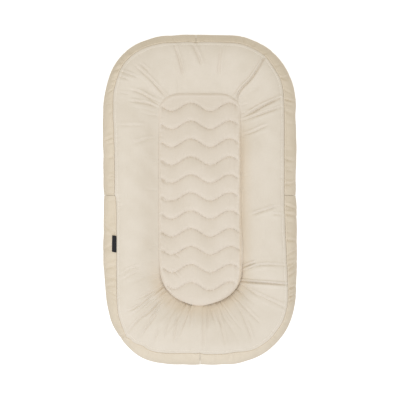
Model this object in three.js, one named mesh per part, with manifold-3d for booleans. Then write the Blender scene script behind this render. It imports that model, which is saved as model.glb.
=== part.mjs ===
// Infant lounger: a fibre-filled bolster ring round a quilted centre, in a sewn cover
// that opens with a lengthwise zip underneath.
// Millimetres. +X is the right-hand side, +Y the head end and +Z up.
// The origin is on the floor, below the middle of the lounger.

import * as THREE from "three";
import { mergeVertices } from "three/addons/utils/BufferGeometryUtils.js";
import Module from "manifold-3d";

const wasm = await Module();
wasm.setup();

// Whole lounger
const loungerWidth = 432;
const loungerLength = 737;
const bolsterHeight = 110;

// Outline seen from above: how far each rounded corner runs across and along
const outlineHeadAcross = 150;
const outlineHeadAlong = 166;
const outlineFootAcross = 160;
const outlineFootAlong = 172;
const outlineRoundShare = 1;

// Top seam, where the side panels meet the face panel
const seamInsetSide = 27;
const seamInsetHead = 18.5;
const seamInsetFoot = 22;
const seamCornerAcross = 125;
const seamCornerAlong = 140;
const seamRoundShare = 0.89;
const seamHeight = 98;

// Opening in the face panel, which the quilted pad fills
const padWidth = 182;
const padHeadReach = 238;
const padFootReach = 235;
const padHeadAcross = 50;
const padHeadAlong = 38;
const padFootAcross = 75;
const padFootAlong = 67;
const padRoundShare = 1;
const padSeamHeight = 62;

// Section of the bolster
const widestHeight = 50;
const bottomSeamInset = 20;
const bottomSeamHeight = 1;
const innerFootInset = 28;
const seamTurnDegrees = 60;
const crownShare = 0.3;

// Places of the four joins of the side panels
const sideJoinY = 10;
const headJoinX = -8;
const footJoinX = 1;

// Cloth and the gaps between its layers
const coverThickness = 1.5;
const casingThickness = 0.9;
const layerGap = 0.4;
const seamGap = 0.6;
const casingSlit = 3;

// Base panel
const baseRise = 7;
const baseRiseInset = 14;
const baseSlotHalfWidth = 5.5;

// Quilted pad
const padClearance = 1.2;
const padUnderside = 60.6;
const padRimHeight = 65;
const padPuffRise = 9;
const padDomeRise = 3;
const padEdgeRoll = 22;
const padDrawIn = 3;
const channelDepth = 5;
const firstChannelInset = 31;
const lastChannelInset = 42;
const wavePeriod = 86.5;
const waveHeight = 18.5;
const waveTroughX = 24;
const waveFadeShare = 0.16;
const padHeadCornerInset = 13;
const padFootCornerInset = 21;
const puffFullnessShare = 0.5;

// Backing sheet and centre insert below the quilting
const backingThickness = 0.8;
const insertSideGap = 1;
const insertDrawIn = 6;
const insertBellyShare = 0.5;
const zipRecessMargin = 1.2;

// Zip
const zipHeadInset = 16;
const zipFootInset = 31;
const tapeWidth = 14;
const tapeThickness = 0.7;
const tapeTail = 9;
const coilWidth = 2.4;
const coilHeight = 2;
const coilParting = 1.6;
const topStopLength = 3;
const bottomStopLength = 4;
const stopOverhang = 0.5;
const zipGap = 0.3;
const slideGap = 0.4;

// Zip slider
const sliderLength = 13;
const sliderPlate = 1;
const sliderFlange = 1;
const sliderCornerRadius = 2.5;
const sliderPostWidth = 0.9;
const sliderPostLength = 4;
const lugWidth = 1.6;
const lugBridge = 0.8;
const lugEyeLength = 5;
const lugLength = 7;

// Zip pull
const pullThickness = 1.2;
const pullLength = 26;
const pullWidth = 6.6;
const pullArmWidth = 1.2;
const pullWindowLength = 6;
const pullEndRadius = 2.4;

// Side label, folded over and caught in the left seam
const labelHeadY = -79;
const labelFootY = -115;
const labelDrop = 13;
const labelThickness = 0.8;

// Fineness of the faceted forms
const sideSpanCount = 3;
const cornerSpanCount = 7;
const endSpanCount = 2;
const widestRowIndex = 3;
const seamRowIndex = 6;
const crownRowIndex = 8;
const padRowIndex = 12;
const innerFootRowIndex = 15;
const channelCount = 11;
const spansPerChannelCount = 4;
const headMarginSpanCount = 3;
const footMarginSpanCount = 4;
const padColumnCount = 18;
const arcSegmentCount = 6;
const barSegmentCount = 12;

// How far a cutting or joining block runs past what it meets
const overrun = 2;

// Step that measures a direction on a surface, as a share of one row or station
const nearShare = 0.05;

const quarterTurn = Math.PI / 2;
const seamTurn = THREE.MathUtils.degToRad(seamTurnDegrees);
const quadrantSpanCount = sideSpanCount + cornerSpanCount + endSpanCount;
const stationCount = 4 * quadrantSpanCount;

// Sizes and places that follow from the ones above
const channelSpan = padHeadReach + padFootReach - firstChannelInset - lastChannelInset;
const channelPitch = channelSpan / (channelCount - 1);
const zipHeadEnd = padHeadReach - zipHeadInset;
const zipFootEnd = zipFootInset - padFootReach;
const baseTop = baseRise + coverThickness;
const tapeUnderside = baseTop + zipGap;
const tapeTop = tapeUnderside + tapeThickness;
const coilTop = tapeUnderside - zipGap;
const coilBottom = coilTop - coilHeight;
const coilInner = coilParting / 2;
const coilOuter = coilInner + coilWidth;
const insertUnderside = baseTop + layerGap;
const backingTop = padUnderside - layerGap;
const insertTop = backingTop - backingThickness - layerGap;

// A closed line round the lounger, seen from above: straight sides and ends, rounded corners.
// A round share of 1 makes a corner elliptical, and a smaller one fuller.
class PlanLoop {
  constructor(halfWidth, roundShare, head, foot) {
    this.halfWidth = halfWidth;
    this.roundShare = roundShare;
    this.head = head;
    this.foot = foot;
  }

  // The same line drawn in by a distance.
  inset(distance) {
    const drawn = ({ reach, across, along }) => ({
      reach: reach - distance,
      across: across - distance,
      along: along - distance,
    });
    return new PlanLoop(this.halfWidth - distance, this.roundShare, drawn(this.head), drawn(this.foot));
  }

  // Point of one quadrant, stepping from its side join to its end join.
  quadrantPoint(signX, signY, step) {
    const { reach, across, along } = signY > 0 ? this.head : this.foot;
    const cornerX = this.halfWidth - across;
    const cornerY = reach - along;
    if (step <= sideSpanCount) {
      const y = THREE.MathUtils.lerp(sideJoinY, signY * cornerY, step / sideSpanCount);
      return new THREE.Vector2(signX * this.halfWidth, y);
    }
    const cornerStep = step - sideSpanCount;
    if (cornerStep <= cornerSpanCount) {
      const turn = (quarterTurn * cornerStep) / cornerSpanCount;
      const x = cornerX + across * Math.max(0, Math.cos(turn)) ** this.roundShare;
      const y = cornerY + along * Math.sin(turn) ** this.roundShare;
      return new THREE.Vector2(signX * x, signY * y);
    }
    const joinX = signY > 0 ? headJoinX : footJoinX;
    const x = THREE.MathUtils.lerp(signX * cornerX, joinX, (cornerStep - cornerSpanCount) / endSpanCount);
    return new THREE.Vector2(x, signY * reach);
  }

  // Point at a whole station. Stations run anticlockwise from the join on the right-hand side.
  wholeStation(station) {
    const wrapped = ((station % stationCount) + stationCount) % stationCount;
    const quadrant = Math.floor(wrapped / quadrantSpanCount);
    const step = wrapped % quadrantSpanCount;
    if (quadrant === 0) return this.quadrantPoint(1, 1, step);
    if (quadrant === 1) return this.quadrantPoint(-1, 1, quadrantSpanCount - step);
    if (quadrant === 2) return this.quadrantPoint(-1, -1, step);
    return this.quadrantPoint(1, -1, quadrantSpanCount - step);
  }

  // Point at any station, on the straight facet between two whole ones.
  at(station) {
    const below = Math.floor(station);
    return this.wholeStation(below).lerp(this.wholeStation(below + 1), station - below);
  }

  // Half the width of the loop at a place along it.
  halfWidthAt(y) {
    const { reach, across, along } = y >= 0 ? this.head : this.foot;
    const past = Math.min(1, Math.max(0, Math.abs(y) - (reach - along)) / along);
    return this.halfWidth - across + across * this.fall(past);
  }

  // How far the loop reaches towards one end, at a place across it.
  reachAt(x, end) {
    const { reach, across, along } = end;
    const past = Math.min(1, Math.max(0, Math.abs(x) - (this.halfWidth - across)) / across);
    return reach - along + along * this.fall(past);
  }

  // The other side of a rounded corner, both as shares of its size.
  fall(past) {
    return (1 - past ** (2 / this.roundShare)) ** (this.roundShare / 2);
  }
}

const outlineLoop = new PlanLoop(
  loungerWidth / 2,
  outlineRoundShare,
  { reach: loungerLength / 2, across: outlineHeadAcross, along: outlineHeadAlong },
  { reach: loungerLength / 2, across: outlineFootAcross, along: outlineFootAlong },
);
const seamLoop = new PlanLoop(
  loungerWidth / 2 - seamInsetSide,
  seamRoundShare,
  { reach: loungerLength / 2 - seamInsetHead, across: seamCornerAcross, along: seamCornerAlong },
  { reach: loungerLength / 2 - seamInsetFoot, across: seamCornerAcross, along: seamCornerAlong },
);
const padLoop = new PlanLoop(
  padWidth / 2,
  padRoundShare,
  { reach: padHeadReach, across: padHeadAcross, along: padHeadAlong },
  { reach: padFootReach, across: padFootAcross, along: padFootAlong },
);

// Distances inwards from the outline to the top seam and to the pad, at a station.
function insetsAt(station) {
  const seam = seamLoop.at(station);
  const toSeam = outlineLoop.at(station).distanceTo(seam);
  return { toSeam, toPad: toSeam + seam.distanceTo(padLoop.at(station)) };
}

// Point seen from above, at a distance inwards from the outline by way of the top seam.
function planPoint(station, distance) {
  const { toSeam, toPad } = insetsAt(station);
  const seam = seamLoop.at(station);
  if (distance <= toSeam) return outlineLoop.at(station).lerp(seam, distance / toSeam);
  return seam.lerp(padLoop.at(station), (distance - toSeam) / (toPad - toSeam));
}

// Point of the cover's section at a station: distance inwards from the outline, and height.
// Rows run from the bottom seam out to the widest place, up to the top seam and the crown,
// down to the pad and under it. Rows past either end lie on the flat underside.
function sectionPoint(station, row) {
  const { toSeam, toPad } = insetsAt(station);
  const innerFoot = toPad - innerFootInset;
  const closing = (bottomSeamInset + innerFoot) / 2;
  if (row < 0) {
    const distance = THREE.MathUtils.lerp(bottomSeamInset, closing, -row);
    return new THREE.Vector2(distance, bottomSeamHeight * (1 + row));
  }
  if (row <= widestRowIndex) {
    const turn = quarterTurn * (1 - row / widestRowIndex);
    const height = THREE.MathUtils.lerp(widestHeight, bottomSeamHeight, Math.sin(turn));
    return new THREE.Vector2(bottomSeamInset * (1 - Math.cos(turn)), height);
  }
  if (row <= seamRowIndex) {
    const turn = (seamTurn * (row - widestRowIndex)) / (seamRowIndex - widestRowIndex);
    const distance = (toSeam * (1 - Math.cos(turn))) / (1 - Math.cos(seamTurn));
    const rise = ((seamHeight - widestHeight) * Math.sin(turn)) / Math.sin(seamTurn);
    return new THREE.Vector2(distance, widestHeight + rise);
  }
  const crown = THREE.MathUtils.lerp(toSeam, toPad, crownShare);
  if (row <= crownRowIndex) {
    const share = (row - seamRowIndex) / (crownRowIndex - seamRowIndex);
    const rise = (bolsterHeight - seamHeight) * Math.sin(quarterTurn * share);
    return new THREE.Vector2(THREE.MathUtils.lerp(toSeam, crown, share), seamHeight + rise);
  }
  if (row <= padRowIndex) {
    const share = (row - crownRowIndex) / (padRowIndex - crownRowIndex);
    const rise = (bolsterHeight - padSeamHeight) * Math.cos(quarterTurn * share);
    return new THREE.Vector2(THREE.MathUtils.lerp(crown, toPad, share), padSeamHeight + rise);
  }
  if (row <= innerFootRowIndex) {
    const turn = (quarterTurn * (row - padRowIndex)) / (innerFootRowIndex - padRowIndex);
    const distance = toPad - innerFootInset * (1 - Math.cos(turn));
    return new THREE.Vector2(distance, padSeamHeight * (1 - Math.sin(turn)));
  }
  return new THREE.Vector2(THREE.MathUtils.lerp(innerFoot, closing, row - innerFootRowIndex), 0);
}

// Point of the cover's outside.
function coverPoint(station, row) {
  const section = sectionPoint(station, row);
  const plan = planPoint(station, section.x);
  return new THREE.Vector3(plan.x, plan.y, section.y);
}

// Point of a layer of the bolster: at a depth below the cover's outside, moved along the section
// by rowShift and along the ring by stationShift.
function layerPoint(station, row, depth, rowShift = 0, stationShift = 0) {
  const direction = (before, after) => coverPoint(...after).sub(coverPoint(...before)).normalize();
  const alongRow = direction([station, row - nearShare], [station, row + nearShare]);
  const alongRing = direction([station - nearShare, row], [station + nearShare, row]);
  const inward = alongRow.clone().cross(alongRing).normalize();
  return coverPoint(station, row)
    .addScaledVector(alongRow, rowShift)
    .addScaledVector(alongRing, stationShift)
    .addScaledVector(inward, depth);
}

// A closed solid put together from rings of points.
class SolidBuilder {
  constructor() {
    this.points = [];
    this.faces = [];
  }

  // Adds points and gives back their numbers.
  add(points) {
    return points.map((point) => this.points.push(point) - 1);
  }

  // Joins two lines of points with a band of faces, closed round unless told otherwise.
  // Each four-sided facet is split along its shorter diagonal, so layers one inside another match.
  band(lower, upper, closed = true) {
    const spans = closed ? lower.length : lower.length - 1;
    const apart = (a, b) => this.points[a].distanceTo(this.points[b]);
    for (let i = 0; i < spans; i += 1) {
      const next = (i + 1) % lower.length;
      if (apart(lower[i], upper[next]) <= apart(lower[next], upper[i])) {
        this.faces.push([lower[i], lower[next], upper[next]], [lower[i], upper[next], upper[i]]);
      } else {
        this.faces.push([lower[i], lower[next], upper[i]], [lower[next], upper[next], upper[i]]);
      }
    }
  }

  // Fills a ring with faces that turn the same way as its points.
  cap(ring) {
    const corners = ring.map((index) => this.points[index]);
    const normal = new THREE.Vector3();
    corners.forEach((corner, i) => {
      normal.add(corner.clone().cross(corners[(i + 1) % corners.length]));
    });
    const sizes = normal.toArray().map(Math.abs);
    const across = sizes.indexOf(Math.max(...sizes));
    const flat = corners.map((corner) => {
      const [a, b] = corner.toArray().filter((_, axis) => axis !== across);
      return new THREE.Vector2(a, b);
    });
    const ringSense = Math.sign(THREE.ShapeUtils.area(flat));
    for (const [a, b, c] of THREE.ShapeUtils.triangulateShape(flat, [])) {
      const sense = Math.sign(THREE.ShapeUtils.area([flat[a], flat[b], flat[c]]));
      this.faces.push(sense === ringSense ? [ring[a], ring[b], ring[c]] : [ring[a], ring[c], ring[b]]);
    }
  }

  // The finished geometry, with its faces pointing out.
  geometry() {
    const volume = this.faces.reduce((sum, [a, b, c]) => {
      return sum + this.points[a].dot(this.points[b].clone().cross(this.points[c]));
    }, 0);
    const faces = volume < 0 ? this.faces.map(([a, b, c]) => [a, c, b]) : this.faces;
    const geometry = new THREE.BufferGeometry().setFromPoints(this.points);
    geometry.setIndex(faces.flat());
    geometry.computeVertexNormals();
    return geometry;
  }
}

// A solid through rings that each have as many points: capped at both ends,
// or running on from the last ring to the first.
function loft(rings, capped) {
  const builder = new SolidBuilder();
  const numbered = rings.map((ring) => builder.add(ring));
  for (let i = 1; i < numbered.length; i += 1) builder.band(numbered[i - 1], numbered[i]);
  const first = numbered[0];
  const last = numbered[numbered.length - 1];
  if (capped) {
    builder.cap([...first].reverse());
    builder.cap(last);
  } else {
    builder.band(last, first);
  }
  return builder.geometry();
}

// Whole numbers from one to another, both included.
function range(from, to) {
  return Array.from({ length: to - from + 1 }, (_, i) => from + i);
}

// One ring of points right round the bolster.
function ringRound(pointAt) {
  return range(0, stationCount - 1).map(pointAt);
}

// A layer of cloth right round the bolster, between two rows and two depths.
function wholeLayer(firstRow, lastRow, outerDepth, innerDepth, firstShift, lastShift) {
  const rows = range(firstRow, lastRow);
  const rowShift = (row) => (row === firstRow ? firstShift : row === lastRow ? lastShift : 0);
  const ring = (row, depth) => ringRound((station) => layerPoint(station, row, depth, rowShift(row)));
  const rings = (depth) => rows.map((row) => ring(row, depth));
  return loft([...rings(outerDepth), ...rings(innerDepth).reverse()], false);
}

// A patch of cloth on the bolster: its section is repeated at each station and capped at both ends.
function layerPatch(stations, rows, outerDepth, innerDepth) {
  const sections = stations.map(({ at, shift }) => {
    const line = (depth) => rows.map((row) => layerPoint(at, row.at, depth, row.shift, shift));
    return [...line(outerDepth), ...line(innerDepth).reverse()];
  });
  return loft(sections, true);
}

// Closed mesh as a solid that can be cut and joined.
function solidFrom(geometry) {
  const bare = geometry.clone();
  bare.deleteAttribute("normal");
  bare.deleteAttribute("uv");
  const merged = mergeVertices(bare);
  const vertProperties = new Float32Array(merged.attributes.position.array);
  const triVerts = new Uint32Array(merged.index.array);
  return new wasm.Manifold(new wasm.Mesh({ numProp: 3, vertProperties, triVerts }));
}

// Solid back as a geometry.
function geometryFrom(solid) {
  const { vertProperties, triVerts } = solid.getMesh();
  const geometry = new THREE.BufferGeometry();
  geometry.setAttribute("position", new THREE.BufferAttribute(vertProperties, 3));
  geometry.setIndex(new THREE.BufferAttribute(triVerts, 1));
  geometry.computeVertexNormals();
  return geometry;
}

// A block between two corners.
function block(x0, x1, y0, y1, z0, z1) {
  const geometry = new THREE.BoxGeometry(x1 - x0, y1 - y0, z1 - z0);
  return geometry.translate((x0 + x1) / 2, (y0 + y1) / 2, (z0 + z1) / 2);
}

// Outline of a plate with rounded corners, from two opposite corners.
function roundedOutline(x0, x1, y0, y1, radius) {
  const shape = new THREE.Shape();
  shape.moveTo(x0 + radius, y0);
  shape.absarc(x1 - radius, y0 + radius, radius, -quarterTurn, 0);
  shape.absarc(x1 - radius, y1 - radius, radius, 0, quarterTurn);
  shape.absarc(x0 + radius, y1 - radius, radius, quarterTurn, 2 * quarterTurn);
  shape.absarc(x0 + radius, y0 + radius, radius, 2 * quarterTurn, 3 * quarterTurn);
  return shape;
}

// A plate with that outline, between two heights.
function plate(shape, z0, z1) {
  const settings = { depth: z1 - z0, bevelEnabled: false, curveSegments: arcSegmentCount };
  return new THREE.ExtrudeGeometry(shape, settings).translate(0, 0, z0);
}

const lounger = new THREE.Group();

// Adds one named piece with its own material.
function addPiece(parent, name, geometry, color, roughness, metalness = 0) {
  const material = new THREE.MeshStandardMaterial({ color, roughness, metalness });
  const mesh = new THREE.Mesh(geometry, material);
  mesh.name = name;
  parent.add(mesh);
  return mesh;
}

const faceCotton = 0xe2dacb;
const sideCotton = 0xd6cab4;
const baseCotton = 0xd8cdb9;
const ticking = 0xf2efe8;
const fibre = 0xfbfaf6;
const blackRibbon = 0x17171a;
const zipCream = 0xe0d7c6;
const zipMetal = 0xb9b2a4;
const clothRoughness = 0.92;
const fibreRoughness = 1;
const coilRoughness = 0.5;
const metalRoughness = 0.35;

// Face panel: one ring of cloth from the top seam, over the crown, down to the pad.
function makeFacePanel() {
  return wholeLayer(seamRowIndex, padRowIndex, 0, coverThickness, seamGap / 2, 0);
}

// One of the four side panels, between two joins of the ring.
function makeSidePanel(quadrant) {
  const first = quadrant * quadrantSpanCount;
  const last = first + quadrantSpanCount;
  const stations = range(first, last).map((at) => {
    return { at, shift: at === first ? seamGap / 2 : at === last ? -seamGap / 2 : 0 };
  });
  const rows = range(0, seamRowIndex).map((at) => {
    return { at, shift: at === 0 ? seamGap : at === seamRowIndex ? -seamGap / 2 : 0 };
  });
  return layerPatch(stations, rows, 0, coverThickness);
}

// Casing: a strip of ticking rolled round the fibre, its edges nearly meeting underneath.
function makeCasing() {
  const outer = coverThickness + layerGap;
  const inner = outer + casingThickness;
  return wholeLayer(-1, innerFootRowIndex + 1, outer, inner, casingSlit / 2, -casingSlit / 2);
}

// Fibre filling of the bolster, one unbroken ring.
function makeFill() {
  const depth = coverThickness + layerGap + casingThickness + layerGap;
  const rows = range(0, innerFootRowIndex);
  return loft(
    rows.map((row) => ringRound((station) => layerPoint(station, row, depth))),
    false,
  );
}

// Base: flat on the floor under the bolster, and held a little above it inside the ring.
function makeBase() {
  const ring = (inset, height) => ringRound((station) => {
    const plan = planPoint(station, inset(insetsAt(station)));
    return new THREE.Vector3(plan.x, plan.y, height);
  });
  const edge = () => bottomSeamInset;
  const foot = ({ toPad }) => toPad - baseRiseInset;
  const centre = ({ toPad }) => toPad;
  return loft(
    [
      ring(centre, baseRise),
      ring(foot, 0),
      ring(edge, 0),
      ring(edge, coverThickness),
      ring(foot, coverThickness),
      ring(centre, baseTop),
    ],
    true,
  );
}

// Half of the base, cut along the centre seam and round the zip.
function makeBaseHalf(side) {
  const reach = loungerLength / 2;
  const top = baseTop + overrun;
  const seam = block(-seamGap / 2, seamGap / 2, -reach, reach, -overrun, top);
  const slotFoot = zipFootEnd - zipGap;
  const slotHead = zipHeadEnd + zipGap;
  const slot = block(-baseSlotHalfWidth, baseSlotHalfWidth, slotFoot, slotHead, -overrun, top);
  const inner = Math.min(0, side * loungerWidth);
  const half = block(inner, inner + loungerWidth, -reach, reach, -overrun, top);
  const cut = solidFrom(makeBase()).subtract(solidFrom(seam)).subtract(solidFrom(slot));
  return geometryFrom(cut.intersect(solidFrom(half)));
}

// Height of the quilting at a place: rolled edge, gentle dome and sewn channels.
function quiltHeight(edge, x, y, fromChannel) {
  const side = edge.halfWidthAt(y) - Math.abs(x);
  const head = edge.reachAt(x, edge.head) - y;
  const foot = edge.reachAt(x, edge.foot) + y;
  const inside = Math.min(1, Math.max(0, Math.min(side, head, foot)) / padEdgeRoll);
  const roll = Math.sqrt(1 - (1 - inside) ** 2);
  const dome = padDomeRise * (1 - (x / edge.halfWidth) ** 2);
  const puff = Math.sin(Math.PI * Math.min(1 / 2, fromChannel)) ** puffFullnessShare;
  return padRimHeight + roll * (padPuffRise + dome - channelDepth * (1 - puff));
}

// Line of the sewn wave through a place along the pad.
function waveAt(x) {
  return (-waveHeight / 2) * Math.cos((2 * Math.PI * (x - waveTroughX)) / wavePeriod);
}

// One row of points across the pad, at a whole or part step from the last channel.
// Rows between channels follow the wave, which dies away towards the rim. Rows past the
// last channel of each end turn into that end's outline.
function padRowPoints(edge, row) {
  const firstChannelY = padHeadReach - firstChannelInset;
  const lastChannelY = firstChannelY - (channelCount - 1) * channelPitch;
  const lastRow = (channelCount - 1) * spansPerChannelCount;
  const shares = range(0, padColumnCount).map((column) => (2 * column) / padColumnCount - 1);
  const waveShare = (share) => Math.min(1, (1 - Math.abs(share)) / waveFadeShare);
  if (row >= 0 && row <= lastRow) {
    const channel = row / spansPerChannelCount;
    const fromChannel = Math.abs(channel - Math.round(channel));
    const level = lastChannelY + channel * channelPitch;
    return shares.map((share) => {
      const x = share * edge.halfWidthAt(level);
      const y = level + waveAt(x) * waveShare(share);
      const height = quiltHeight(edge, x, level, fromChannel);
      return new THREE.Vector3(x, y, Math.abs(share) === 1 ? padRimHeight : height);
    });
  }
  const atHead = row > lastRow;
  const end = atHead ? edge.head : edge.foot;
  const sense = atHead ? 1 : -1;
  const channelY = atHead ? firstChannelY : lastChannelY;
  const cornerInset = atHead ? padHeadCornerInset : padFootCornerInset;
  const cornerY = sense * (end.reach + padClearance - cornerInset);
  const past = atHead ? (row - lastRow) / headMarginSpanCount : -row / footMarginSpanCount;
  const level = THREE.MathUtils.lerp(channelY, cornerY, past);
  const endHalfWidth = edge.halfWidthAt(cornerY);
  return shares.map((share) => {
    const x = share * edge.halfWidthAt(level);
    const from = channelY + waveAt(x) * waveShare(share);
    const to = sense * edge.reachAt(share * endHalfWidth, end);
    const y = THREE.MathUtils.lerp(from, to, past);
    const onRim = past === 1 || Math.abs(share) === 1;
    const height = quiltHeight(edge, x, y, Math.abs(y - from) / channelPitch);
    return new THREE.Vector3(x, y, onRim ? padRimHeight : height);
  });
}

// Quilted pad: the puffed top, its rolled rim, and a flat underside drawn in below the rim.
function makeQuiltedPad() {
  const edge = padLoop.inset(padClearance);
  const builder = new SolidBuilder();
  const lastRow = (channelCount - 1) * spansPerChannelCount + headMarginSpanCount;
  const rows = range(-footMarginSpanCount, lastRow).map((row) => builder.add(padRowPoints(edge, row)));
  for (let i = 1; i < rows.length; i += 1) builder.band(rows[i - 1], rows[i], false);
  const inner = rows.slice(1, -1);
  const rim = [
    ...rows[0],
    ...inner.map((row) => row[padColumnCount]),
    ...[...rows[rows.length - 1]].reverse(),
    ...inner.map((row) => row[0]).reverse(),
  ];
  const drawIn = new THREE.Vector3(1 - padDrawIn / edge.halfWidth, 1 - padDrawIn / edge.foot.reach, 0);
  const underside = builder.add(
    rim.map((index) => {
      const point = builder.points[index].clone().multiply(drawIn);
      return point.setZ(padUnderside);
    }),
  );
  builder.band(underside, rim);
  builder.cap([...underside].reverse());
  return builder.geometry();
}

// A ring that follows the pad's opening at a distance inside it.
function insideRing(inset, height) {
  return ringRound((station) => {
    const plan = planPoint(station, insetsAt(station).toPad + inset);
    return new THREE.Vector3(plan.x, plan.y, height);
  });
}

// Backing cloth, sewn through the quilting from below.
function makeBacking() {
  const inset = insertSideGap + padDrawIn;
  return loft([insideRing(inset, backingTop - backingThickness), insideRing(inset, backingTop)], true);
}

// Centre insert: a thick fibre pad with full sides and a shallow recess over the zip.
function makeCentreInsert() {
  const belly = THREE.MathUtils.lerp(insertUnderside, insertTop, insertBellyShare);
  const pad = loft(
    [
      insideRing(insertDrawIn, insertUnderside),
      insideRing(insertSideGap, belly),
      insideRing(insertDrawIn, insertTop),
    ],
    true,
  );
  const reachX = coilInner + tapeWidth + zipRecessMargin;
  const footY = zipFootEnd - tapeTail - zipRecessMargin;
  const headY = zipHeadEnd + tapeTail + zipRecessMargin;
  const top = tapeTop + slideGap + sliderPlate + slideGap;
  const recess = block(-reachX, reachX, footY, headY, insertUnderside - overrun, top);
  return geometryFrom(solidFrom(pad).subtract(solidFrom(recess)));
}

// Zip tape on one side of the opening, lying on the inside of the base.
function makeTape(side) {
  const inner = Math.min(side * coilInner, side * (coilInner + tapeWidth));
  const foot = zipFootEnd - tapeTail;
  const head = zipHeadEnd + tapeTail;
  return block(inner, inner + tapeWidth, foot, head, tapeUnderside, tapeTop);
}

// Coil on one side, under the edge of its tape.
function makeCoil(side) {
  const inner = Math.min(side * coilInner, side * coilOuter);
  const foot = zipFootEnd + bottomStopLength + zipGap;
  const head = zipHeadEnd - topStopLength - zipGap;
  return block(inner, inner + coilWidth, foot, head, coilBottom, coilTop);
}

// Top stop, crimped on the head end of one coil.
function makeTopStop(side) {
  const inner = Math.min(side * coilInner, side * (coilOuter + stopOverhang));
  const width = coilWidth + stopOverhang;
  return block(inner, inner + width, zipHeadEnd - topStopLength, zipHeadEnd, coilBottom - zipGap, coilTop);
}

// Bottom stop, which holds both coils together at the foot end.
function makeBottomStop() {
  const reach = coilOuter + stopOverhang;
  return block(-reach, reach, zipFootEnd, zipFootEnd + bottomStopLength, coilBottom - zipGap, coilTop);
}

// Places of the slider when the zip is closed.
const sliderHead = zipHeadEnd - topStopLength - slideGap;
const sliderFoot = sliderHead - sliderLength;
const sliderMiddle = (sliderHead + sliderFoot) / 2;
const flangeInner = coilOuter + slideGap;
const sliderReach = flangeInner + sliderFlange;
const lowerPlateTop = coilBottom - slideGap;
const lowerPlateBottom = lowerPlateTop - sliderPlate;
const upperPlateBottom = tapeTop + slideGap;
const upperPlateTop = upperPlateBottom + sliderPlate;
const pullRadius = pullThickness / 2;
const pullAxisHeight = lowerPlateBottom - slideGap - pullRadius;
const eyeBottom = pullAxisHeight - pullRadius - slideGap;

// Slider: two plates, a post between the coils, flanges round them and a lug for the pull.
function makeSlider() {
  const outline = roundedOutline(-sliderReach, sliderReach, sliderFoot, sliderHead, sliderCornerRadius);
  const flangeFoot = sliderFoot + sliderCornerRadius;
  const flangeHead = sliderHead - sliderCornerRadius;
  const flangeTop = tapeUnderside - slideGap;
  const postX = sliderPostWidth / 2;
  const postFoot = sliderHead - sliderFlange - sliderPostLength;
  const lug = roundedOutline(
    sliderMiddle - lugLength / 2,
    sliderMiddle + lugLength / 2,
    eyeBottom - lugBridge,
    lowerPlateBottom + sliderPlate,
    lugBridge,
  );
  const eye = block(
    -lugWidth,
    lugWidth,
    sliderMiddle - lugEyeLength / 2,
    sliderMiddle + lugEyeLength / 2,
    eyeBottom,
    lowerPlateBottom,
  );
  // The lug's outline stands in the plane of Y and Z, so its plate is turned up from X and Y.
  const standing = plate(lug, -lugWidth / 2, lugWidth / 2)
    .rotateX(quarterTurn)
    .rotateZ(quarterTurn);
  const pieces = [
    plate(outline, lowerPlateBottom, lowerPlateTop),
    plate(outline, upperPlateBottom, upperPlateTop),
    block(-sliderReach, -flangeInner, flangeFoot, flangeHead, lowerPlateBottom, flangeTop),
    block(flangeInner, sliderReach, flangeFoot, flangeHead, lowerPlateBottom, flangeTop),
    block(-postX, postX, postFoot, sliderHead - sliderFlange, lowerPlateBottom, upperPlateTop),
  ];
  const lugSolid = solidFrom(standing).subtract(solidFrom(eye));
  return geometryFrom(pieces.reduce((whole, piece) => whole.add(solidFrom(piece)), lugSolid));
}

// Pull: a tab with a window round the lug, hung on a bar through the lug's eye.
function makePull() {
  const foot = sliderMiddle - pullLength;
  const windowFoot = sliderMiddle - pullWindowLength;
  const armReach = lugWidth / 2 + slideGap + pullArmWidth;
  const tab = roundedOutline(-pullWidth / 2, pullWidth / 2, foot, sliderMiddle, pullEndRadius);
  const body = solidFrom(plate(tab, pullAxisHeight - pullRadius, pullAxisHeight + pullRadius));
  const bar = new THREE.CylinderGeometry(pullRadius, pullRadius, 2 * armReach, barSegmentCount)
    .rotateZ(quarterTurn)
    .translate(0, sliderMiddle, pullAxisHeight);
  const arms = [-1, 1].map((side) => {
    const near = Math.min(side * armReach, side * (armReach - pullArmWidth));
    const low = pullAxisHeight - pullRadius;
    const high = pullAxisHeight + pullRadius;
    return solidFrom(block(near, near + pullArmWidth, windowFoot, sliderMiddle, low, high));
  });
  const head = block(-pullWidth, pullWidth, windowFoot, sliderMiddle + pullWidth, 0, lowerPlateTop);
  const trimmed = body.subtract(solidFrom(head));
  return geometryFrom([...arms, solidFrom(bar)].reduce((whole, piece) => whole.add(piece), trimmed));
}

// Side label: a folded ribbon that lies on the left side panel, just below the seam.
function makeSideLabel() {
  const leftJoin = 2 * quadrantSpanCount;
  const sideFoot = seamLoop.foot.along - seamLoop.foot.reach;
  const stations = [labelHeadY, labelFootY].map((y) => {
    return { at: leftJoin + (sideSpanCount * (sideJoinY - y)) / (sideJoinY - sideFoot), shift: 0 };
  });
  const seamPoint = sectionPoint(leftJoin, seamRowIndex);
  const drop = labelDrop / seamPoint.distanceTo(sectionPoint(leftJoin, seamRowIndex - 1));
  const rows = [
    { at: seamRowIndex, shift: -seamGap },
    { at: seamRowIndex - drop / 2, shift: 0 },
    { at: seamRowIndex - drop, shift: 0 },
  ];
  return layerPatch(stations, rows, -layerGap, -layerGap - labelThickness);
}

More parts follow.
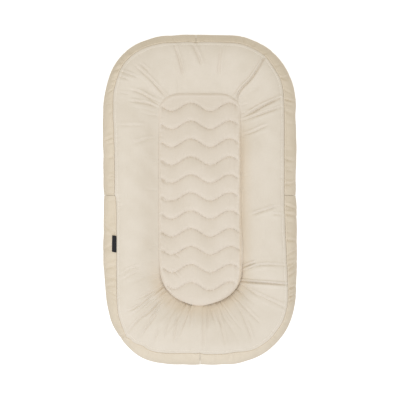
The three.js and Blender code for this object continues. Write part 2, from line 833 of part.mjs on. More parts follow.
// Cover
addPiece(lounger, "face_panel", makeFacePanel(), faceCotton, clothRoughness);
addPiece(lounger, "side_panel_head_right", makeSidePanel(0), sideCotton, clothRoughness);
addPiece(lounger, "side_panel_head_left", makeSidePanel(1), sideCotton, clothRoughness);
addPiece(lounger, "side_panel_foot_left", makeSidePanel(2), sideCotton, clothRoughness);
addPiece(lounger, "side_panel_foot_right", makeSidePanel(3), sideCotton, clothRoughness);
addPiece(lounger, "base_panel_left", makeBaseHalf(-1), baseCotton, clothRoughness);
addPiece(lounger, "base_panel_right", makeBaseHalf(1), baseCotton, clothRoughness);
addPiece(lounger, "side_label", makeSideLabel(), blackRibbon, clothRoughness);

// Quilting and what it lies on
addPiece(lounger, "quilted_pad", makeQuiltedPad(), faceCotton, clothRoughness);
addPiece(lounger, "quilt_backing", makeBacking(), ticking, clothRoughness);
addPiece(lounger, "centre_insert", makeCentreInsert(), fibre, fibreRoughness);

// Bolster
addPiece(lounger, "bolster_casing", makeCasing(), ticking, clothRoughness);
addPiece(lounger, "bolster_fill", makeFill(), fibre, fibreRoughness);

// Zip
for (const [name, side] of [
  ["left", -1],
  ["right", 1],
]) {
  addPiece(lounger, `zip_tape_${name}`, makeTape(side), zipCream, clothRoughness);
  addPiece(lounger, `zip_coil_${name}`, makeCoil(side), zipCream, coilRoughness);
  addPiece(lounger, `zip_top_stop_${name}`, makeTopStop(side), zipMetal, metalRoughness, 1);
}
addPiece(lounger, "zip_bottom_stop", makeBottomStop(), zipMetal, metalRoughness, 1);

// The slider carries the pull
const slider = addPiece(lounger, "zip_slider", makeSlider(), zipMetal, metalRoughness, 1);
addPiece(slider, "zip_pull", makePull(), zipMetal, metalRoughness, 1);

export default lounger;
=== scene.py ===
"""An infant lounger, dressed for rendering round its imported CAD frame.

A fibre-filled bolster ring surrounds a quilted centre, in a sewn cotton cover that opens with
a lengthwise zip underneath. +X is the right-hand side, +Y the head end and +Z up, and the
origin is on the floor below the middle. Classes hold their sizes in millimetres, and a finished
mesh is scaled to metres.
"""

import logging
import math
from dataclasses import astuple, dataclass, field
from enum import Enum
from typing import Callable, Iterable, Sequence

import bmesh
import bpy
import numpy as np
from mathutils import Matrix, Vector


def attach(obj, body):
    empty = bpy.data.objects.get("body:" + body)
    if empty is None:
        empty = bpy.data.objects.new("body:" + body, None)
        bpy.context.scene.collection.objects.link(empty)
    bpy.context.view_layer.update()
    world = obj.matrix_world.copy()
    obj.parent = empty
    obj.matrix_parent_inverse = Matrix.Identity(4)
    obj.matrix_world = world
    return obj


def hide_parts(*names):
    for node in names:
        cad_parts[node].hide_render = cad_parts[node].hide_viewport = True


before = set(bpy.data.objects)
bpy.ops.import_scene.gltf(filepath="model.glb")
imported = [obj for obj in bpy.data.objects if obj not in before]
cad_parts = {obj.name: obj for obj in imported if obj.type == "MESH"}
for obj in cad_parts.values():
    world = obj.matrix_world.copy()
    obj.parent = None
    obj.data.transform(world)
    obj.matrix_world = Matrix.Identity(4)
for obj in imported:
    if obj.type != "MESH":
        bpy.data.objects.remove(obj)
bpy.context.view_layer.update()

LOG = logging.getLogger("lounger")
MM = 0.001
QUARTER_TURN = math.pi / 2
FULL_TURN = 2 * math.pi
# A band of a wave texture repeats every 2 pi / 20 of the texture's own unit.
WAVE_UNIT = FULL_TURN / 20.0
CLOTH_UV = "cloth"
BODY = "lounger"
Array = np.ndarray


# Shared mathematics


def lerp(start: Array, end: Array, share: Array) -> Array:
    """Value that lies a share of the way from start to end."""
    return start + (end - start) * share


def smoothstep(share: Array) -> Array:
    """Eases a share from 0 to 1 and holds it outside them."""
    held = np.clip(share, 0.0, 1.0)
    return held * held * (3.0 - 2.0 * held)


def bell(distance: Array, width: float) -> Array:
    """A bell curve of height 1 that is mostly gone beyond its width."""
    return np.exp(-((distance / width) ** 2))


def unit(vectors: Array) -> Array:
    """Vectors made one long."""
    return vectors / np.maximum(np.linalg.norm(vectors, axis=-1, keepdims=True), 1e-12)


def edge_roll(distance: Array, radius: float) -> Array:
    """How far a rounded edge lies below its surface.

    Args:
        distance: distances from the edge, along the surface.
        radius: radius of the rounded edge.

    Returns:
        Depths, from the radius at the edge to 0 beyond the radius.
    """
    past = 1.0 - np.clip(distance / radius, 0.0, 1.0)
    return radius * (1.0 - np.sqrt(np.maximum(0.0, 1.0 - past**2)))


def running_length(points: Array) -> Array:
    """Length along lines of points, from 0, over the last axis but one."""
    steps = np.linalg.norm(np.diff(points, axis=-2), axis=-1)
    start = np.zeros(steps.shape[:-1] + (1,))
    return np.concatenate([start, np.cumsum(steps, axis=-1)], axis=-1)


def smoothed(path: Sequence[Sequence[float]], rounds: int = 2) -> Array:
    """A line of points with its corners cut, its ends kept."""
    points = np.array(path, dtype=float)
    for _ in range(rounds):
        near = lerp(points[:-1], points[1:], 0.25)
        far = lerp(points[:-1], points[1:], 0.75)
        between = np.stack([near, far], axis=1).reshape(-1, points.shape[1])
        points = np.concatenate([points[:1], between, points[-1:]])
    return points


def placed(*parts: Array) -> Array:
    """Coordinates spread over one another and stacked into places."""
    return np.stack(np.broadcast_arrays(*parts), axis=-1)


@dataclass(frozen=True)
class Ripple:
    """A smooth irregular wave round a closed line, the same in every run."""

    seed: int
    length: float
    shortest: float
    longest: float
    count: int = 9

    def at(self, place: Array) -> Array:
        """Height of the wave, from about -1 to 1.

        Args:
            place: distances along the line.

        Returns:
            The wave at each place.
        """
        draw = np.random.default_rng(self.seed)
        low = max(1, round(self.length / self.longest))
        high = max(low + 1, round(self.length / self.shortest))
        total = np.zeros_like(place)
        for _ in range(self.count):
            cycles = draw.integers(low, high + 1)
            phase = draw.uniform(0.0, FULL_TURN)
            total = total + np.sin(FULL_TURN * cycles * place / self.length + phase)
        return total / math.sqrt(2.0 * self.count)


# Meshes


def finished(bm: bmesh.types.BMesh, name: str) -> bpy.types.Object:
    """Makes a mesh in millimetres a smooth object in metres, at the origin.

    Args:
        bm: the mesh, which is freed.
        name: name of the piece.

    Returns:
        The object, linked to the scene.
    """
    bmesh.ops.scale(bm, vec=(MM, MM, MM), verts=bm.verts)
    mesh = bpy.data.meshes.new(name)
    bm.to_mesh(mesh)
    bm.free()
    mesh.shade_smooth()
    piece = bpy.data.objects.new(name, mesh)
    bpy.context.scene.collection.objects.link(piece)
    return piece


def laid_grid(
    places: Array,
    along: Array | None = None,
    across: Array | None = None,
    closed_along: bool = False,
    closed_across: bool = False,
) -> bmesh.types.BMesh:
    """A grid of cloth whose corners lie on given places.

    Args:
        places: places in millimetres, an array of columns by rows by 3.
        along: length along the cloth at each column, for its UV map.
        across: length across the cloth at each column and row, for its UV map.
        closed_along: whether the last column meets the first.
        closed_across: whether the last row meets the first.

    Returns:
        The mesh, whose faces point along columns crossed with rows.
    """
    columns, rows = places.shape[:2]
    bm = bmesh.new()
    bm.loops.layers.uv.new(CLOTH_UV)
    bmesh.ops.create_grid(bm, x_segments=columns - 1, y_segments=rows - 1, size=1.0)
    sheet = bpy.data.meshes.new("grid")
    bm.to_mesh(sheet)
    # The operator numbers the grid's corners row by row.
    corners = np.ascontiguousarray(places.transpose(1, 0, 2), dtype=np.float32)
    sheet.vertices.foreach_set("co", corners.ravel())
    if along is not None and across is not None:
        measures = placed(np.broadcast_to(along[:, None], across.shape), across)
        measures = measures.transpose(1, 0, 2).reshape(-1, 2) * MM
        corner = np.empty(len(sheet.loops), dtype=np.int32)
        sheet.loops.foreach_get("vertex_index", corner)
        sheet.uv_layers[CLOTH_UV].data.foreach_set(
            "uv", measures[corner].astype(np.float32).ravel()
        )
    bm.clear()
    bm.from_mesh(sheet)
    bpy.data.meshes.remove(sheet)
    if closed_along or closed_across:
        rim = [vertex for vertex in bm.verts if vertex.is_boundary]
        bmesh.ops.remove_doubles(bm, verts=rim, dist=1e-3)
    return bm


def sharpened(bm: bmesh.types.BMesh, degrees: float = 50.0) -> bmesh.types.BMesh:
    """Marks hard edges, so that smooth shading doesn't spread round them.

    Args:
        bm: mesh to mark.
        degrees: turn above which an edge is hard.

    Returns:
        The same mesh.
    """
    limit = math.radians(degrees)
    for edge in bm.edges:
        if edge.calc_face_angle(0.0) > limit:
            edge.smooth = False
    return bm


def thickened(piece: bpy.types.Object, thickness: float) -> bpy.types.Object:
    """Gives cloth its thickness in millimetres, on the side away from its face."""
    solid = piece.modifiers.new("thickness", "SOLIDIFY")
    solid.thickness = thickness * MM
    solid.offset = -1.0
    solid.use_rim = True
    return piece


# Materials


def linear(hex_colour: str) -> tuple[float, float, float, float]:
    """Turns an sRGB hex colour to linear red, green, blue and alpha.

    Args:
        hex_colour: six hex digits.

    Returns:
        The colour as a shader socket takes it.
    """
    channels = [int(hex_colour[k : k + 2], 16) / 255.0 for k in (0, 2, 4)]
    levels = [c / 12.92 if c <= 0.04045 else ((c + 0.055) / 1.055) ** 2.4 for c in channels]
    return (*levels, 1.0)


def add_node(
    tree: bpy.types.NodeTree, kind: str, inputs: dict | None = None, **settings: object
) -> bpy.types.Node:
    """Adds a node with its settings, values and links.

    Args:
        tree: the node tree.
        kind: the node's type name, without the ShaderNode that they all start with.
        inputs: by socket name or number, a value, an output socket, or a node whose output in
            use is meant.
        **settings: properties of the node.

    Returns:
        The node.
    """
    node = tree.nodes.new("ShaderNode" + kind)
    for name, value in settings.items():
        setattr(node, name, value)
    for socket, value in (inputs or {}).items():
        if isinstance(value, bpy.types.Node):
            value = next(output for output in value.outputs if output.enabled)
        if isinstance(value, bpy.types.NodeSocket):
            tree.links.new(value, node.inputs[socket])
        else:
            node.inputs[socket].default_value = value
    return node


def blank_material(name: str) -> tuple[bpy.types.Material, bpy.types.NodeTree]:
    """A node material with nothing in it."""
    material = bpy.data.materials.new(name)
    material.use_nodes = True
    material.node_tree.nodes.clear()
    return material, material.node_tree


class Grain(Enum):
    """Which way a cloth's threads run: as the cover is cut flat, or along a strip."""

    PLAN = "plan"
    STRIP = "strip"


class Structure(Enum):
    """How a cloth's threads cross, by the way that the first set of bands runs."""

    PLAIN = "X"
    TWILL = "DIAGONAL"


@dataclass(frozen=True)
class Finish:
    """A material's name and main colour. Each kind of finish says what feeds its shader."""

    name: str
    colour: str

    def place(self, tree: bpy.types.NodeTree) -> bpy.types.NodeSocket:
        """Coordinates in metres that the pattern follows."""
        return add_node(tree, "TexCoord").outputs["Object"]

    def feeds(self, tree: bpy.types.NodeTree) -> dict:
        """Values and links of the shader's sockets."""
        raise NotImplementedError(self.name)

    def material(self) -> bpy.types.Material:
        """Builds the material, whose pattern scales come from sizes in millimetres."""
        material, tree = blank_material(self.name)
        surface = add_node(tree, "BsdfPrincipled", self.feeds(tree))
        add_node(tree, "OutputMaterial", {"Surface": surface})
        return material


@dataclass(frozen=True)
class PaintedWarmShade:
    """Painted shade: warmer, deeper cloth round the pad's foot and right, where shade falls."""

    reach: float
    shade_tint: tuple[float, float, float, float] = (0.975, 0.93, 0.865, 1.0)
    half_width: float = 91.3
    half_length: float = 238.0
    corner: float = 73.0
    foot: tuple[float, float] = (-200.0, -120.0)
    right: tuple[float, float] = (88.0, 60.0)
    head: tuple[float, float] = (120.0, 200.0)

    def over(self, tree: bpy.types.NodeTree, colour: bpy.types.Node) -> bpy.types.Node:
        """Lays the painted warm shade over a colour.

        Args:
            tree: the material's nodes.
            colour: the node of the cloth's own colour.

        Returns:
            The node of the colour, with more painted shade nearer the pad's edge.
        """
        place = add_node(tree, "TexCoord").outputs["Object"]
        core = [(size - self.corner) * MM for size in (self.half_width, self.half_length)]
        # The distance from a box with round corners, seen from above.
        flat = place
        for operation, more in (
            ("MULTIPLY", {1: (1.0, 1.0, 0.0)}),
            ("ABSOLUTE", {}),
            ("SUBTRACT", {1: (*core, 0.0)}),
            ("MAXIMUM", {1: (0.0, 0.0, 0.0)}),
            ("LENGTH", {}),
        ):
            flat = add_node(tree, "VectorMath", {0: flat, **more}, operation=operation)
        past = add_node(tree, "Math", {0: flat, 1: self.corner * MM}, operation="SUBTRACT")
        off = add_node(tree, "Math", {0: past}, operation="ABSOLUTE")
        across, along, _ = add_node(tree, "SeparateXYZ", {0: place}).outputs
        # Each is one at its first place and nothing at its second.
        falling = {"To Min": 1.0, "To Max": 0.0}
        fields = (
            (off, (0.0, self.reach)),
            (along, self.foot),
            (across, self.right),
            (along, self.head),
        )
        near, foot, right, headward = [
            add_node(
                tree,
                "MapRange",
                {"Value": value, "From Min": low * MM, "From Max": high * MM, **falling},
                interpolation_type="SMOOTHSTEP",
            )
            for value, (low, high) in fields
        ]
        side = add_node(tree, "Math", {0: foot, 1: right}, operation="MAXIMUM")
        factor = add_node(tree, "Math", {0: near, 1: side}, operation="MULTIPLY")
        factor = add_node(tree, "Math", {0: factor, 1: headward}, operation="MULTIPLY")
        # Painted shade: the colour is multiplied by a warm tint near the pad.
        layers = {"Factor": factor, "A": colour, "B": self.shade_tint}
        return add_node(tree, "Mix", layers, data_type="RGBA", blend_type="MULTIPLY")


@dataclass(frozen=True)
class WovenCloth(Finish):
    """A woven cloth: crossing threads, uneven yarn, faint blotches of tone and a soft nap."""

    shade: str
    thread: float
    grain: Grain = Grain.PLAN
    structure: Structure = Structure.PLAIN
    roughness: float = 0.9
    nap: float = 0.08
    relief: float = 0.05
    blotch: float = 55.0
    slub: float = 9.0
    painted_shade: PaintedWarmShade | None = None

    def place(self, tree: bpy.types.NodeTree) -> bpy.types.NodeSocket:
        """Coordinates in metres that the threads follow: a strip's run with its own map."""
        if self.grain is Grain.PLAN:
            return super().place(tree)
        return add_node(tree, "UVMap", uv_map=CLOTH_UV).outputs["UV"]

    def feeds(self, tree: bpy.types.NodeTree) -> dict:
        """Threads, slubs and blotches, as tone and as bump, with painted shade in the weave's
        hollows.
        """
        place = self.place(tree)
        threads = [
            add_node(
                tree,
                "TexWave",
                {"Vector": place, "Scale": WAVE_UNIT / (self.thread * MM)},
                bands_direction=way,
            ).outputs["Fac"]
            for way in (self.structure.value, "Y")
        ]
        crossing = add_node(tree, "Math", dict(enumerate(threads)), operation="SUBTRACT")
        weave = add_node(tree, "Math", {0: crossing}, operation="ABSOLUTE")
        # Yarn is uneven along its length, which shows as short faint streaks both ways.
        drawn = [
            add_node(tree, "Mapping", {"Vector": place, "Scale": stretch})
            for stretch in ((1.0, 7.0, 1.0), (7.0, 1.0, 1.0))
        ]
        slubs = {"Scale": 1.0 / (self.slub * MM), "Detail": 3.0, "Roughness": 0.6}
        streaks = [add_node(tree, "TexNoise", {"Vector": way, **slubs}) for way in drawn]
        yarn = add_node(tree, "Math", dict(enumerate(streaks)), operation="ADD")
        blotches = {"Scale": 1.0 / (self.blotch * MM), "Detail": 4.0, "Roughness": 0.5}
        clouds = add_node(tree, "TexNoise", {"Vector": place, **blotches})
        tones = [
            add_node(
                tree,
                "MapRange",
                {"Value": value, "From Min": low, "From Max": high, "To Max": most},
            )
            for value, low, high, most in ((yarn, 0.6, 1.4, 0.34), (clouds, 0.35, 0.65, 0.36))
        ]
        tone = add_node(tree, "Math", dict(enumerate(tones)), operation="ADD")
        # Painted shade: the weave's low places are darker; the slub and blotch tone is the yarn's
        # own.
        darker = {0: weave, 1: -0.22, 2: tone}
        depth = add_node(tree, "Math", darker, operation="MULTIPLY_ADD", use_clamp=True)
        dyed = {"Factor": depth, "A": linear(self.colour), "B": linear(self.shade)}
        colour = add_node(tree, "Mix", dyed, data_type="RGBA")
        height = add_node(tree, "Math", {0: yarn, 1: 0.6, 2: weave}, operation="MULTIPLY_ADD")
        raised = {"Height": height, "Strength": 0.6, "Distance": self.relief * MM}
        return {
            # Painted warm shade beside the pad, where the cloth has it.
            "Base Color": self.painted_shade.over(tree, colour) if self.painted_shade else colour,
            "Roughness": self.roughness,
            "Specular IOR Level": 0.25,
            "Sheen Weight": self.nap,
            "Sheen Roughness": 0.5,
            "Normal": add_node(tree, "Bump", raised),
        }


@dataclass(frozen=True)
class SpunFibre(Finish):
    """Loose polyester fibre: white, matt and clumped."""

    shade: str
    clump: float

    def feeds(self, tree: bpy.types.NodeTree) -> dict:
        """Clumps, as tone and as bump, darker where they sink: painted shade."""
        clumped = {"Scale": 1.0 / (self.clump * MM), "Detail": 6.0, "Roughness": 0.7}
        clumps = add_node(
            tree, "TexNoise", {"Vector": self.place(tree), "Distortion": 1.2, **clumped}
        )
        # Painted shade: the fibre is darker where its clumps sink.
        dyed = {"Factor": clumps, "A": linear(self.shade), "B": linear(self.colour)}
        raised = {"Height": clumps, "Strength": 0.8, "Distance": 1.5 * MM}
        return {
            "Base Color": add_node(tree, "Mix", dyed, data_type="RGBA"),
            "Roughness": 1.0,
            "Sheen Weight": 0.2,
            "Normal": add_node(tree, "Bump", raised),
        }


@dataclass(frozen=True)
class TwistedThread(Finish):
    """Sewing thread: plied, so it has a fine slanting bump, and a little shinier than cloth."""

    twist: float = 0.9

    def feeds(self, tree: bpy.types.NodeTree) -> dict:
        """Plies, as bump."""
        turned = {"Vector": self.place(tree), "Scale": WAVE_UNIT / (self.twist * MM)}
        plies = add_node(tree, "TexWave", turned, bands_direction="DIAGONAL").outputs["Fac"]
        raised = {"Height": plies, "Strength": 0.4, "Distance": 0.05 * MM}
        return {
            "Base Color": linear(self.colour),
            "Roughness": 0.6,
            "Sheen Weight": 0.1,
            "Normal": add_node(tree, "Bump", raised),
        }


@dataclass(frozen=True)
class MouldedNylon(Finish):
    """Nylon monofilament: dyed through, smooth and faintly glossy, with drawing marks."""

    mark: float = 0.4

    def feeds(self, tree: bpy.types.NodeTree) -> dict:
        """Marks, as gloss."""
        drawn = {"Vector": self.place(tree), "Scale": 1.0 / (self.mark * MM), "Detail": 2.0}
        marks = add_node(tree, "TexNoise", drawn)
        gloss = add_node(tree, "MapRange", {"Value": marks, "To Min": 0.32, "To Max": 0.5})
        return {"Base Color": linear(self.colour), "Roughness": gloss, "IOR": 1.53}


@dataclass(frozen=True)
class TumbledZinc(Finish):
    """Die-cast zinc alloy, tumbled and dull-plated: grey, with soft scuffs and fine pits."""

    scuffed: str
    scuff: float = 2.5
    pit: float = 0.35

    def feeds(self, tree: bpy.types.NodeTree) -> dict:
        """Scuffs, as tone and gloss, and pits, as bump."""
        place = self.place(tree)
        scuffs, pits = [
            add_node(tree, "TexNoise", {"Vector": place, "Scale": 1.0 / size, "Detail": detail})
            for size, detail in ((self.scuff * MM, 5.0), (self.pit * MM, 2.0))
        ]
        worn = {"Factor": scuffs, "A": linear(self.colour), "B": linear(self.scuffed)}
        sunk = {"Height": pits, "Strength": 0.2, "Distance": 0.03 * MM}
        return {
            "Base Color": add_node(tree, "Mix", worn, data_type="RGBA"),
            "Metallic": 1.0,
            "Roughness": add_node(
                tree, "MapRange", {"Value": scuffs, "To Min": 0.24, "To Max": 0.46}
            ),
            "Normal": add_node(tree, "Bump", sunk),
        }


@dataclass
class Finishes:
    """Every material of the lounger, each built once."""

    # Cotton poplin, combed and undyed: warm off-white and quite matt. Its threads lie about
    # 0.3 mm apart, too fine to show, so they are drawn at 1.1 mm. Beside the pad's foot and
    # right it is painted a little deeper and warmer: painted shade for the gathers there.
    face: Finish = WovenCloth(
        "cotton_poplin_face", "e0d6c7", "d4c9b7", 1.1, painted_shade=PaintedWarmShade(32.0)
    )
    # The same poplin over wadding, a touch darker than the face: painted shade for the pad's tone.
    # Its rim gets a thin painted warm shade.
    quilted: Finish = WovenCloth(
        "cotton_poplin_quilted", "dfd4c5", "d3c7b5", 1.1, painted_shade=PaintedWarmShade(5.0)
    )
    # Side panels: a browner copy, painted shade of the steep sides, with threads along the strip.
    side: Finish = WovenCloth("cotton_poplin_side", "e1d4bf", "d3c5ae", 1.1, Grain.STRIP)
    # Cotton sheeting underneath: heavier yarn, drawn at 1.4 mm, and less nap.
    base: Finish = WovenCloth("cotton_sheeting_base", "dacebb", "cec1ac", 1.4, nap=0.04)
    # Downproof ticking of the inner bag: dense, white and smooth, seen only inside.
    ticking: Finish = WovenCloth(
        "cotton_ticking", "f2efe8", "e6e2d8", 1.0, structure=Structure.TWILL, nap=0.02
    )
    # Woven edge ribbon of the label: black polyester, so it is denser and shinier.
    ribbon: Finish = WovenCloth(
        "polyester_ribbon_black", "1b1b1e", "101012", 0.8, Grain.STRIP, Structure.TWILL, 0.55, 0.03
    )
    # Zip tape: tight herringbone of polyester, smooth along its length.
    tape: Finish = WovenCloth(
        "polyester_zip_tape", "e0d7c6", "d2c8b5", 0.9, Grain.STRIP, Structure.TWILL, 0.7, 0.02
    )
    # Hollow-fibre polyester filling, in clumps of about 14 mm.
    fibre: Finish = SpunFibre("polyester_fibre", "fbfaf6", "efede6", 14.0)
    # Core-spun polyester thread, dyed to the cotton but paler, partly as painted highlight.
    thread: Finish = TwistedThread("core_spun_thread", "f9f3e7")
    # Coil of nylon monofilament.
    coil: Finish = MouldedNylon("nylon_coil", "e0d7c6")
    # Slider, pull and stops of tumbled zinc alloy.
    metal: Finish = TumbledZinc("zinc_alloy", "b9b2a4", "c8c2b6")
    made: dict[str, bpy.types.Material] = field(default_factory=dict)

    def of(self, finish: Finish) -> bpy.types.Material:
        """The built material of one finish."""
        if finish.name not in self.made:
            self.made[finish.name] = finish.material()
        return self.made[finish.name]


FINISHES = Finishes()


def dress(piece: bpy.types.Object, finish: Finish, slot: str, *replaced: str) -> bpy.types.Object:
    """Gives a piece its finish and its body, and hides the CAD nodes that it stands for.

    Args:
        piece: the piece.
        finish: one of the finishes.
        slot: the record's material slot, not used.
        *replaced: names of CAD nodes.

    Returns:
        The same piece.
    """
    piece.data.materials.clear()
    piece.data.materials.append(FINISHES.of(finish))
    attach(piece, BODY)
    if replaced:
        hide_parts(*replaced)
    area = sum(polygon.area for polygon in piece.data.polygons)
    LOG.info("%s: %d faces, %.4f m2", piece.name, len(piece.data.polygons), area)
    return piece


# Form of the bolster, with the same sizes as the CAD


@dataclass(frozen=True)
class LoopEnd:
    """One rounded end of a plan loop: its reach, and how its corners run across and along."""

    reach: float
    across: float
    along: float


@dataclass(frozen=True)
class Joins:
    """Places of the four joins of the side panels, and the steps between them."""

    side_y: float = 10.0
    head_x: float = -8.0
    foot_x: float = 1.0
    side_steps: float = 3.0
    corner_steps: float = 7.0
    end_steps: float = 2.0

    @property
    def quadrant(self) -> float:
        """Stations from one join to the next."""
        return self.side_steps + self.corner_steps + self.end_steps

    @property
    def ring(self) -> float:
        """Stations right round the lounger."""
        return 4 * self.quadrant


JOINS = Joins()


@dataclass(frozen=True)
class PlanLoop:
    """A closed line round the lounger, seen from above, with rounded corners."""

    half_width: float
    round_share: float
    head: LoopEnd
    foot: LoopEnd

    def end_sizes(self, at_head: Array) -> list[Array]:
        """Reach, across and along of the head or the foot end."""
        ends = (astuple(self.head), astuple(self.foot))
        return [np.where(at_head, head, foot) for head, foot in zip(*ends)]

    def points(self, station: Array) -> Array:
        """Points of the loop.

        Args:
            station: stations, which run anticlockwise from the join on the right.

        Returns:
            Their places, with one more axis of 2.
        """
        wrapped = np.mod(station, JOINS.ring)
        quadrant = np.floor(wrapped / JOINS.quadrant).astype(int)
        within = wrapped - quadrant * JOINS.quadrant
        step = np.where(quadrant % 2 == 0, within, JOINS.quadrant - within)
        sign_x = np.where((quadrant == 0) | (quadrant == 3), 1.0, -1.0)
        sign_y = np.where(quadrant < 2, 1.0, -1.0)
        at_head = sign_y > 0
        reach, across, along = self.end_sizes(at_head)
        join_x = np.where(at_head, JOINS.head_x, JOINS.foot_x)
        side_share = np.clip(step / JOINS.side_steps, 0.0, 1.0)
        turned = np.clip((step - JOINS.side_steps) / JOINS.corner_steps, 0.0, 1.0)
        before_end = JOINS.side_steps + JOINS.corner_steps
        end_share = np.clip((step - before_end) / JOINS.end_steps, 0.0, 1.0)
        cosine = np.maximum(0.0, np.cos(QUARTER_TURN * turned)) ** self.round_share
        sine = np.maximum(0.0, np.sin(QUARTER_TURN * turned)) ** self.round_share
        x = lerp(sign_x * (self.half_width - across), join_x, end_share)
        y = lerp(JOINS.side_y, sign_y * (reach - along), side_share)
        return placed(x + sign_x * across * cosine, y + sign_y * along * sine)

    def inset(self, distance: float) -> "PlanLoop":
        """The same loop drawn in by a distance."""
        ends = [
            LoopEnd(e.reach - distance, e.across - distance, e.along - distance)
            for e in (self.head, self.foot)
        ]
        return PlanLoop(self.half_width - distance, self.round_share, *ends)

    def half_width_at(self, y: Array) -> Array:
        """Half the loop's width at places along it."""
        reach, across, along = self.end_sizes(y >= 0)
        past = np.clip((np.abs(y) - (reach - along)) / along, 0.0, 1.0)
        fall = (1.0 - past ** (2.0 / self.round_share)) ** (self.round_share / 2.0)
        return self.half_width - across + across * fall

    def depth_inside(self, plan: Array) -> Array:
        """Distance from places to the loop, below 0 outside it.

        Args:
            plan: places seen from above, an array with a last axis of 2.

        Returns:
            The distances.
        """
        line = self.points(np.linspace(0.0, JOINS.ring, 961)[:-1])
        flat = plan.reshape(-1, 2)
        parts = np.array_split(flat, max(1, len(flat) // 4096))
        nearest = np.concatenate(
            [np.linalg.norm(part[:, None] - line[None], axis=-1).min(axis=1) for part in parts]
        )
        x, y = flat.T
        within = (np.abs(x) <= self.half_width_at(y)) & (
            np.where(y >= 0, y <= self.head.reach, -y <= self.foot.reach)
        )
        return np.where(within, nearest, -nearest).reshape(plan.shape[:-1])


OUTLINE = PlanLoop(216.0, 1.0, LoopEnd(368.5, 150.0, 166.0), LoopEnd(368.5, 160.0, 172.0))
TOP_SEAM = PlanLoop(189.0, 0.89, LoopEnd(350.0, 125.0, 140.0), LoopEnd(346.5, 125.0, 140.0))
PAD_SEAM = PlanLoop(91.0, 1.0, LoopEnd(238.0, 50.0, 38.0), LoopEnd(235.0, 75.0, 67.0))


